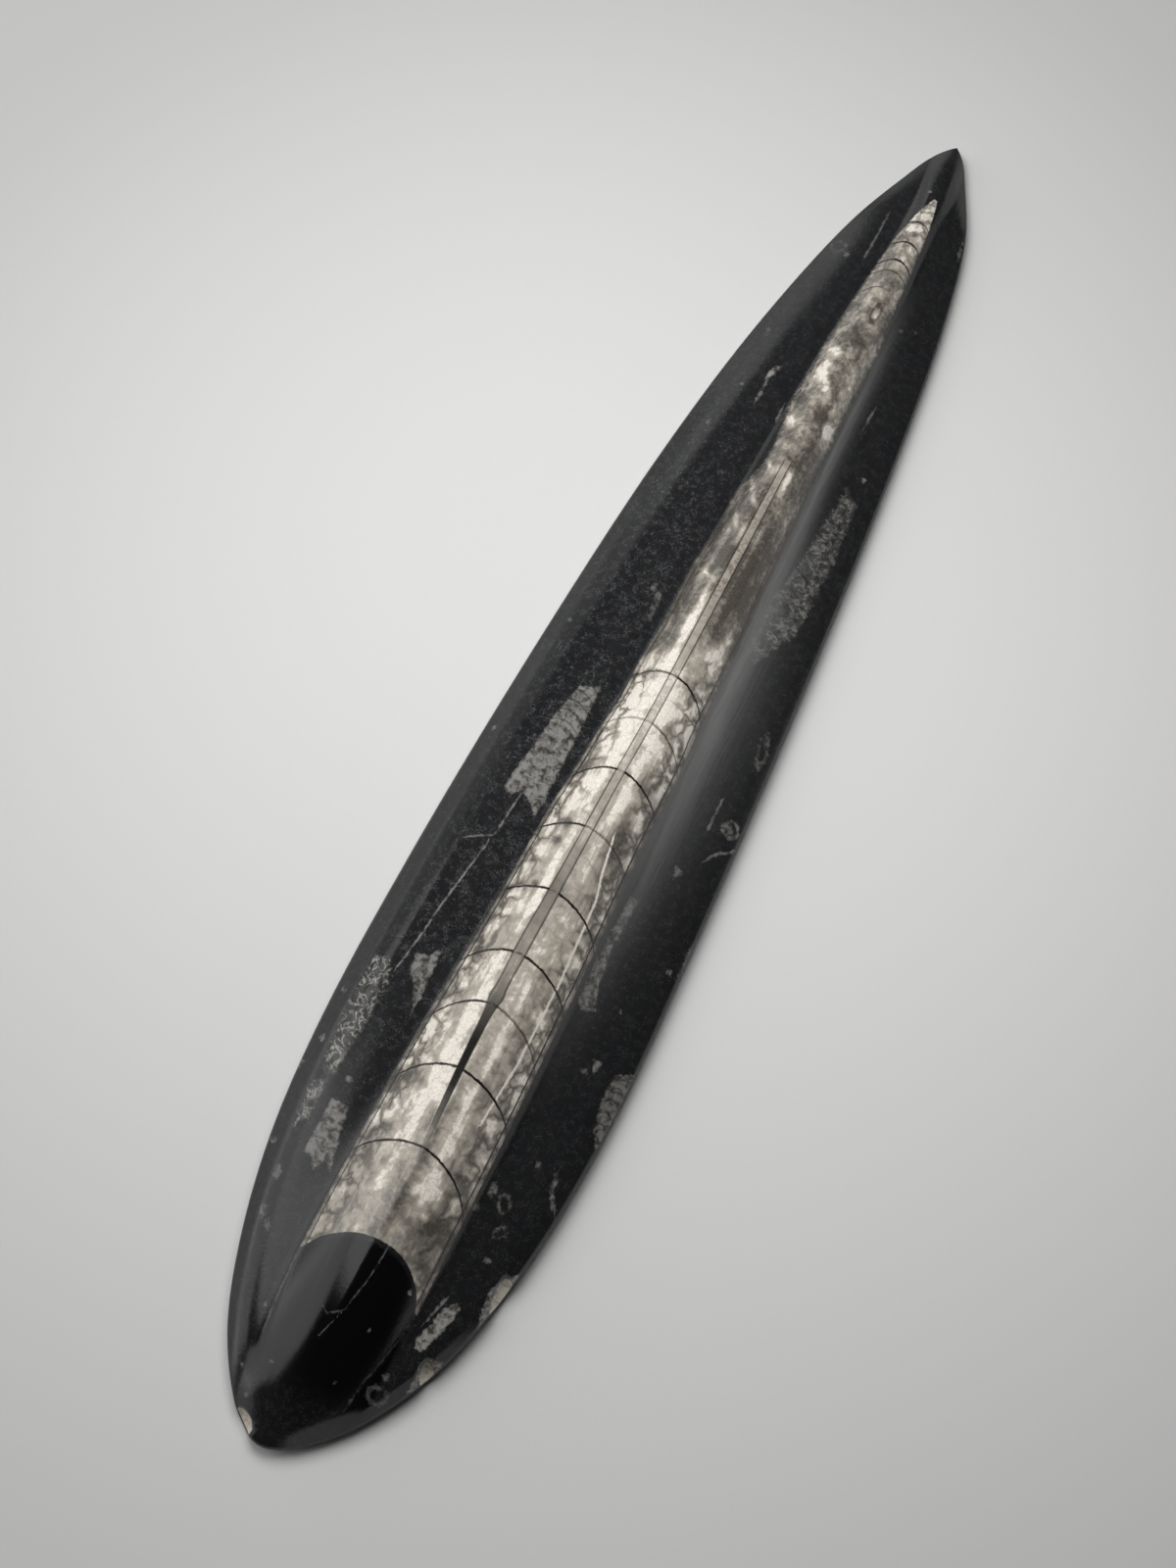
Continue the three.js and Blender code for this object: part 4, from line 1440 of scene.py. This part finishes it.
@dataclass(frozen=True)
class Calcite:
    """The shell's filling of cloudy calcite, its chamber walls, the tube through it and the shell's own wall.

    The light and dark of the calcite follow a level, which clouds, fibres, lumps and patches push about; the
    patches along the rib's shoulders are partly painted highlight. A swing is how far one of them pushes it,
    first where the filling is clear and then where it is mottled.
    """

    grey: Colour = (0.455, 0.412, 0.35)
    white: Colour = (0.86, 0.805, 0.72)
    smoke: Colour = (0.20, 0.184, 0.158)
    ink: Colour = (0.012, 0.010, 0.009)
    big: Cloud = Cloud(0.3, 3, 0.55)
    big_pull: Triple = (1.0, 0.6, 1.0)
    big_swing: Pair = (4.6, 14.0)
    small: Cloud = Cloud(1.15, 3, 0.6, 0.8)
    small_swing: Pair = (0.9, 4.8)
    fibre: Cloud = Cloud(1.6, 3, 0.6)
    fibre_pull: Triple = (1.0, 0.07, 1.0)
    fibre_swing: Pair = (3.2, 1.8)
    patch_swing: float = 1.9
    septum_shade: float = 0.9
    drift: Cloud = Cloud(0.4, 2)
    bend: Cloud = Cloud(0.55, 1)
    pull: float = 3.0
    crack_scale: float = 0.25
    lump_ramp: Ramp = Ramp(0.0, 0.28, -2.3, 0.9)
    seam_ramp: Ramp = Ramp(0.07, 0.01)
    seam_gaps_ramp: Ramp = Ramp(0.35, 0.6, 0.2, 0.8)
    border_ramp: Ramp = Ramp(4.5, 2.0, 0.25, 1.0)
    border_clear_ramp: Ramp = Ramp(0.25, 0.7, 1.0, 0.3)
    white_ramp: Ramp = Ramp(0.1, 1.5)
    smoke_ramp: Ramp = Ramp(0.2, -2.0, 0.0, 0.92)
    umber_swing: float = 4.0
    umber_ramp: Ramp = Ramp(-1.2, -4.6, 0.0, 0.9)
    sugar_scale: float = 3.2
    sugar_ramp: Ramp = Ramp(0.3, 0.75, 0.0, 0.22)
    thread_fray: float = 2.0
    thread_ramp: Ramp = Ramp(1.1, 0.4)
    septum_fray: float = 0.5
    septum_ramp: Ramp = Ramp(0.30, 0.10)
    core_ramp: Ramp = Ramp(0.35, 0.65, 0.75, 0.2)
    tube_ramp: Ramp = Ramp(1.05, 0.9)
    ring_ramp: Ramp = Ramp(0.24, 0.08)
    ring_share: float = 0.75
    wall_fray: float = 0.25
    wall_ramp: Ramp = Ramp(0.75, 0.3, 0.0, 0.55)
    wall_line: float = 0.65
    wall_line_ramp: Ramp = Ramp(0.18, 0.05, 0.0, 0.85)
    loose_ramp: Ramp = Ramp(0.3, 0.9)
    shell_fray: Pair = (0.35, 1.7)
    shell_outer: Pair = (-0.05, -0.4)
    shell_inner: Pair = (0.1, 0.7)

    @staticmethod
    def between_walls(g: Graph) -> Socket:
        """How far inside the shell's two walls a point is."""
        return g.sum(Sum.LEAST, g.mesh("wall_left"), g.mesh("wall_right"))

    def share(self, g: Graph, fray: Socket) -> Socket:
        """Where the shell is, soft-edged where its filling is mottled.

        Args:
            g: The shader being drawn.
            fray: How far edges wander here.

        Returns:
            From 0 in the limestone to 1 in the calcite.
        """
        loose = g.ramp(g.mesh("mottle"), self.loose_ramp)
        inside = g.sum(Sum.LEAST, self.between_walls(g), g.mesh("mouth"))
        inside = g.shifted(inside, fray, g.between(*self.shell_fray, loose))
        return g.step(inside, g.between(*self.shell_outer, loose), g.between(*self.shell_inner, loose))

    def paint(self, g: Graph, fray: Socket) -> Socket:
        """The colour of everything in the shell.

        Args:
            g: The shader being drawn.
            fray: How far edges wander here.

        Returns:
            The colour.
        """
        small = g.noise(self.small)
        colour = self.clouds(g, small)
        # White threads of calcite, and one painted highlight line on the dome.
        thread_and_glint = g.sum(Sum.SIZE, g.shifted(g.mesh("thread_and_glint"), fray, self.thread_fray))
        colour = g.over(colour, self.white, g.times(g.ramp(thread_and_glint, self.thread_ramp), g.mesh("thread_and_glint_on")))
        septum = g.sum(Sum.SIZE, g.shifted(g.mesh("septum"), fray, self.septum_fray))
        colour = g.over(colour, self.ink, g.times(g.ramp(septum, self.septum_ramp), g.mesh("septum_on")))
        colour = self.tube(g, colour, small)
        wall, kept = g.shifted(self.between_walls(g), fray, self.wall_fray), g.mesh("walled")
        colour = g.over(colour, UMBER, g.times(g.ramp(wall, self.wall_ramp), kept))
        line = g.ramp(g.apart(wall, self.wall_line), self.wall_line_ramp)
        return g.over(colour, self.ink, g.times(line, kept))

    def clouds(self, g: Graph, small: Socket) -> Socket:
        """The calcite itself: white, grey and brown clouds with cracks and sugary grain.

        Args:
            g: The shader being drawn.
            small: The smaller clouds.

        Returns:
            The colour.
        """
        crack = g.cells(self.crack_scale, Cells.EDGE, g.pulled(self.bend, self.pull))
        border = g.ramp(self.between_walls(g), self.border_ramp)
        border = g.times(border, g.ramp(g.mesh("mottle"), self.border_clear_ramp))
        lesser = g.centred(small)
        level = self.level(g, lesser, g.ramp(crack, self.lump_ramp), border)
        colour = g.over(self.grey, self.white, g.ramp(level, self.white_ramp))
        colour = g.over(colour, self.smoke, g.ramp(level, self.smoke_ramp))
        deep = g.ramp(g.shifted(level, lesser, self.umber_swing), self.umber_ramp)
        colour = g.over(colour, UMBER, deep)
        seams = g.times(g.ramp(crack, self.seam_ramp), border)
        colour = g.over(colour, UMBER, g.times(seams, g.ramp(small, self.seam_gaps_ramp)))
        sugar = g.cells(self.sugar_scale, Cells.MIDDLE)
        return g.over(colour, self.smoke, g.ramp(sugar, self.sugar_ramp))

    def level(self, g: Graph, lesser: Socket, lumps: Socket, border: Socket) -> Socket:
        """How light the calcite is.

        Args:
            g: The shader being drawn.
            lesser: The smaller clouds, about 0.
            lumps: The lumps between its cracks.
            border: How near the shell's walls a point is, where lumps are.

        Returns:
            The level, above 0 for white and below it for brown.
        """
        mottle = g.mesh("mottle")
        big = g.centred(g.noise(self.big, g.scaled(g.pulled(self.drift, self.pull), self.big_pull)))
        fibre = g.centred(g.noise(self.fibre, g.scaled(g.point, self.fibre_pull)))
        level = g.times(big, g.between(*self.big_swing, mottle))
        level = g.shifted(level, lesser, g.between(*self.small_swing, mottle))
        level = g.shifted(level, fibre, g.between(*self.fibre_swing, mottle))
        # The tone patches include the shoulder streaks, which are partly painted highlight.
        level = g.add(g.shifted(level, g.mesh("tone"), self.patch_swing), g.mesh("glow"))
        level = g.shifted(level, lumps, border)
        return g.sum(Sum.TAKE, level, g.times(g.times(g.mesh("septum_on"), border), self.septum_shade))

    def tube(self, g: Graph, around: Socket, small: Socket) -> Socket:
        """The tube through the chambers.

        Args:
            g: The shader being drawn.
            around: The colour of the calcite round it.
            small: The smaller clouds.

        Returns:
            The colour with the tube over it.
        """
        across, tube_on = g.sum(Sum.SIZE, g.mesh("tube")), g.mesh("tube_on")
        core = g.over(around, self.grey, g.ramp(small, self.core_ramp))
        core = g.over(core, self.ink, g.mesh("tube_dark"))
        colour = g.over(around, core, g.times(g.ramp(across, self.tube_ramp), tube_on))
        ring = g.times(g.ramp(g.apart(across, 1.0), self.ring_ramp), tube_on)
        return g.over(colour, self.ink, g.times(ring, self.ring_share))


@dataclass(frozen=True)
class PolishedFossil:
    """Limestone and calcite ground flush and polished, one groove brushed under a painted sheen, sawn and
    matt below.
    """

    limestone: Limestone = Limestone()
    calcite: Calcite = Calcite()
    sawn: Colour = (0.040, 0.041, 0.043)
    # Painted sheen: a light grey laid over the brushed groove in place of its reflection.
    rubbed_sheen_grey: Colour = (0.175, 0.175, 0.172)
    fracture: Colour = (0.66, 0.61, 0.52)
    ior: float = 1.52
    polished_rough: Pair = (0.13, 0.21)
    rubbed_rough: float = 0.5
    sawn_rough: float = 0.62
    broken_rough: float = 0.75
    wander: Cloud = Cloud(1.3, 3, 0.6)
    hair: Cloud = Cloud(2.4, 3, 0.65)
    hair_pull: Triple = (1.0, 0.035, 1.0)
    hair_ramp: Ramp = Ramp(0.3, 0.68, 0.78, 1.1)
    hair_share: float = 0.8
    rubbed_sheen_ramp: Ramp = Ramp(0.0, 1.0, 0.92, 0.35)
    chip_fray: float = 0.3
    chip_ramp: Ramp = Ramp(0.0, 0.12)
    crumble: Cloud = Cloud(1.8, 4, 0.7)
    crumble_ramp: Ramp = Ramp(0.45, 0.75, 0.0, 0.7)
    face_ramp: Ramp = Ramp(0.3, 0.9)
    tooth: Cloud = Cloud(6.0, 4, 0.7)
    tooth_ramp: Ramp = Ramp(0.35, 0.7)
    tooth_height: Pair = (1.0, 0.06)
    buffing: Cloud = Cloud(0.08, 2)
    buffing_ramp: Ramp = Ramp(0.3, 0.7)
    ripple: Cloud = Cloud(2.2, 3, 0.55)
    ripple_height: float = 0.25
    relief: float = 0.05

    def dress(self, stone: bpy.types.Object) -> None:
        """Gives the stone this finish.

        Args:
            stone: The stone.
        """
        g = Graph("black_limestone_and_calcite")
        fray = g.centred(g.noise(self.wander))
        shell = self.calcite.share(g, fray)
        colour = g.over(self.limestone.paint(g), self.calcite.paint(g, fray), shell)
        hairs = self.hairs(g)
        # Painted sheen over the brushed groove, fainter over the calcite, on top of the real brushing.
        colour = g.over(colour, self.rubbed_sheen_grey, g.times(hairs, g.ramp(shell, self.rubbed_sheen_ramp)))
        chipped = g.ramp(g.shifted(g.mesh("chip"), fray, self.chip_fray), self.chip_ramp)
        broken = g.over(self.fracture, UMBER, g.ramp(g.noise(self.crumble), self.crumble_ramp))
        colour = g.over(colour, broken, chipped)
        polish, tooth = g.mesh("polish"), g.noise(self.tooth)
        face = g.ramp(polish, self.face_ramp)
        colour = g.over(g.over(self.sawn, BLACK, g.ramp(tooth, self.tooth_ramp)), colour, face)
        gloss = g.between(*self.polished_rough, g.ramp(g.noise(self.buffing), self.buffing_ramp))
        rough = g.between(self.sawn_rough, gloss, face)
        rough = g.between(rough, self.rubbed_rough, hairs)
        rough = g.between(rough, self.broken_rough, chipped)
        ripple = g.times(g.noise(self.ripple), self.ripple_height)
        height = g.add(ripple, g.times(tooth, g.between(*self.tooth_height, polish)))
        g.finish(colour, rough, height, self.relief, self.ior)
        stone.data.materials.append(g.material)

    def hairs(self, g: Graph) -> Socket:
        """How brushed the polish is, in fine hairs along the groove, which also says where the painted sheen
        lies.

        Args:
            g: The shader being drawn.

        Returns:
            From 0, polished, to 1, brushed and under the painted sheen.
        """
        brushed = g.mesh("brushed")
        streak = g.ramp(g.noise(self.hair, g.scaled(g.point, self.hair_pull)), self.hair_ramp)
        return g.between(brushed, g.times(brushed, streak), self.hair_share)


@dataclass(frozen=True)
class MattPaper:
    """Pale matt paper, lit softly from within away from the stone, so that low views look onto pale paper."""

    pale: Colour = (0.75, 0.75, 0.742)
    shade: Colour = (0.73, 0.73, 0.72)
    tooth: Cloud = Cloud(2.5, 3, 0.6)
    tooth_height: float = 0.02
    rough: float = 0.9
    ior: float = 1.3
    lit_from: float = 150.0
    lit_fully: float = 320.0
    lit: float = 0.46

    def dress(self, sheet: bpy.types.Object) -> None:
        """Gives the sheet this finish.

        Args:
            sheet: The sheet.
        """
        g = Graph("matt_paper")
        tooth = g.noise(self.tooth)
        colour = g.over(self.pale, self.shade, tooth)
        shader = g.finish(colour, self.rough, tooth, self.tooth_height, self.ior)
        shader.inputs["Emission Color"].default_value = (*self.pale, 1.0)
        lit = g.step(g.radius(), self.lit_from, self.lit_fully, 0.0, self.lit)
        g.set(shader.inputs["Emission Strength"], lit)
        sheet.data.materials.append(g.material)


# --- The studio -----------------------------------------------------------------------------------


class Facing(Enum):
    """Which way a lamp faces, as what its aim keeps of its own place."""

    STONE = (0.0, 0.0, 0.0)
    DOWN = (1.0, 1.0, 0.0)
    ACROSS = (0.0, 1.0, 1.0)


@dataclass(frozen=True)
class Lamp:
    """A rectangular soft light."""

    name: str
    place: Triple
    size: tuple[float, float]
    watts: float
    facing: Facing
    mirrored: bool = True

    def hang(self) -> None:
        """Hangs the light in the studio."""
        light = bpy.data.lights.new(self.name, "AREA")
        light.shape = "RECTANGLE"
        light.size, light.size_y = self.size
        light.energy = self.watts
        lamp = bpy.data.objects.new(self.name, light)
        lamp.location = self.place
        aim = Vector([part * keep for part, keep in zip(self.place, self.facing.value, strict=True)])
        lamp.rotation_euler = (aim - Vector(self.place)).to_track_quat("-Z", "Y").to_euler()
        lamp.visible_camera = False
        lamp.visible_glossy = self.mirrored
        bpy.context.scene.collection.objects.link(lamp)


@dataclass(frozen=True)
class Sweep:
    """A round sheet of paper that curves up at its edge, so that low views see it too."""

    radius: float = 1.7
    rise: float = 0.35
    flat_share: float = 0.6
    rings: int = 40
    spokes: int = 96

    def ring(self, share: float) -> tuple[float, float]:
        """One ring of the sheet.

        Args:
            share: How far out it is, as a share.

        Returns:
            Its radius and its height, in metres.
        """
        curved_share = 1 - self.flat_share
        turn = max(share - self.flat_share, 0) / curved_share * math.pi / 2
        out = share if share < self.flat_share else self.flat_share + curved_share * math.sin(turn)
        return self.radius * out, self.rise * (1 - math.cos(turn))

    def build(self) -> bpy.types.Object:
        """Makes the sheet.

        Returns:
            The sheet, not yet dressed.
        """
        points: list[Triple] = [(0.0, 0.0, 0.0)]
        for i in range(1, self.rings + 1):
            radius, height = self.ring(i / self.rings)
            for j in range(self.spokes):
                turn = 2 * math.pi * j / self.spokes
                points.append((radius * math.cos(turn), radius * math.sin(turn), height))
        after = [(j + 1) % self.spokes for j in range(self.spokes)]
        faces: list[tuple[int, ...]] = [(0, 1 + j, 1 + n) for j, n in enumerate(after)]
        for i in range(self.rings - 1):
            a, b = 1 + i * self.spokes, 1 + (i + 1) * self.spokes
            faces += [(a + j, b + j, b + n, a + n) for j, n in enumerate(after)]
        return placed("paper", points, faces)


@dataclass(frozen=True)
class Camera:
    """The camera: above the blunt end, a little to the right, with its distance in lengths of the stone."""

    turn: float = 26.87
    rise: float = 72.0
    lengths_away: float = 1.2777
    aim: Triple = (-0.00446, -0.01213, 0.0)
    lens: float = 45.0
    sensor: float = 36.0

    def build(self) -> bpy.types.Object:
        """Sets the camera up.

        Returns:
            The camera.
        """
        turn, rise = math.radians(self.turn), math.radians(self.rise)
        away = self.lengths_away * NOMINAL_LENGTH * UNIT
        back = Vector((math.sin(turn) * math.cos(rise), -math.cos(turn) * math.cos(rise), math.sin(rise)))
        right = Vector((math.cos(turn), math.sin(turn), 0))
        optics = bpy.data.cameras.new("camera")
        optics.lens, optics.sensor_width = self.lens, self.sensor
        camera = bpy.data.objects.new("camera", optics)
        facing = Matrix((right, back.cross(right), back)).transposed().to_4x4()
        camera.matrix_world = Matrix.Translation(Vector(self.aim) + back * away) @ facing
        bpy.context.scene.collection.objects.link(camera)
        bpy.context.scene.camera = camera
        return camera


@dataclass(frozen=True)
class Studio:
    """The pale floor, the soft lights, the dim room and the camera."""

    camera: Camera = Camera()
    sweep: Sweep = Sweep()
    paper: MattPaper = MattPaper()
    room: Colour = (0.5, 0.5, 0.495)
    lamps: tuple[Lamp, ...] = (
        Lamp("key", (-0.031, 0.030, 0.22), (0.16, 0.16), 0.465, Facing.STONE, mirrored=False),
        Lamp("ceiling_panel", (-0.71, -0.24, 1.0), (0.98, 0.5), 2.4, Facing.DOWN),
        Lamp("ceiling_side", (-0.9, 0.12, 1.0), (0.6, 0.24), 0.68, Facing.DOWN),
        Lamp("window_near", (-1.0, -0.44, 0.465), (0.94, 0.73), 2.4, Facing.ACROSS),
        Lamp("window_middle", (-1.0, 0.315, 0.465), (0.57, 0.73), 0.5, Facing.ACROSS),
        Lamp("window_far", (-1.0, 0.95, 0.565), (0.7, 0.53), 0.95, Facing.ACROSS),
    )

    def build(self) -> None:
        """Sets the camera, the floor and the lights up."""
        self.camera.build()
        floor = self.sweep.build()
        self.paper.dress(floor)
        for lamp in self.lamps:
            lamp.hang()
        self.lit_room()
        bpy.context.scene.view_settings.view_transform = "Standard"

    def lit_room(self) -> None:
        """The dim room behind the paper, which lights and mirrors nothing."""
        world = bpy.data.worlds.new("room")
        bpy.context.scene.world = world
        world.use_nodes = True
        world.node_tree.nodes["Background"].inputs["Color"].default_value = (*self.room, 1.0)
        world.cycles_visibility.glossy = False
        world.cycles_visibility.diffuse = False


def keep_fields(stone: bpy.types.Object, fields: dict[str, Field]) -> None:
    """Keeps fields in the mesh, one number for each point.

    Args:
        stone: The stone.
        fields: The fields and their names.
    """
    for name, values in fields.items():
        layer = stone.data.attributes.new(name, "FLOAT", "POINT")
        layer.data.foreach_set("value", np.ascontiguousarray(values, np.float32))


def main() -> None:
    """Builds the studio and the stone and writes the size of the model."""
    logging.basicConfig(level=logging.INFO)
    Studio().build()
    stone, across, along, ground = StoneMesh().build()
    for fields in (ground, Fossil().fields(across, along), Neighbours().fields(across, along)):
        keep_fields(stone, fields)
    PolishedFossil().dress(stone)
    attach(stone, "root")
    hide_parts("fossil_stone")
    LOG.info("%s: %d points, %d faces", stone.name, len(stone.data.vertices), len(stone.data.polygons))


if __name__ == "__main__":
    main()
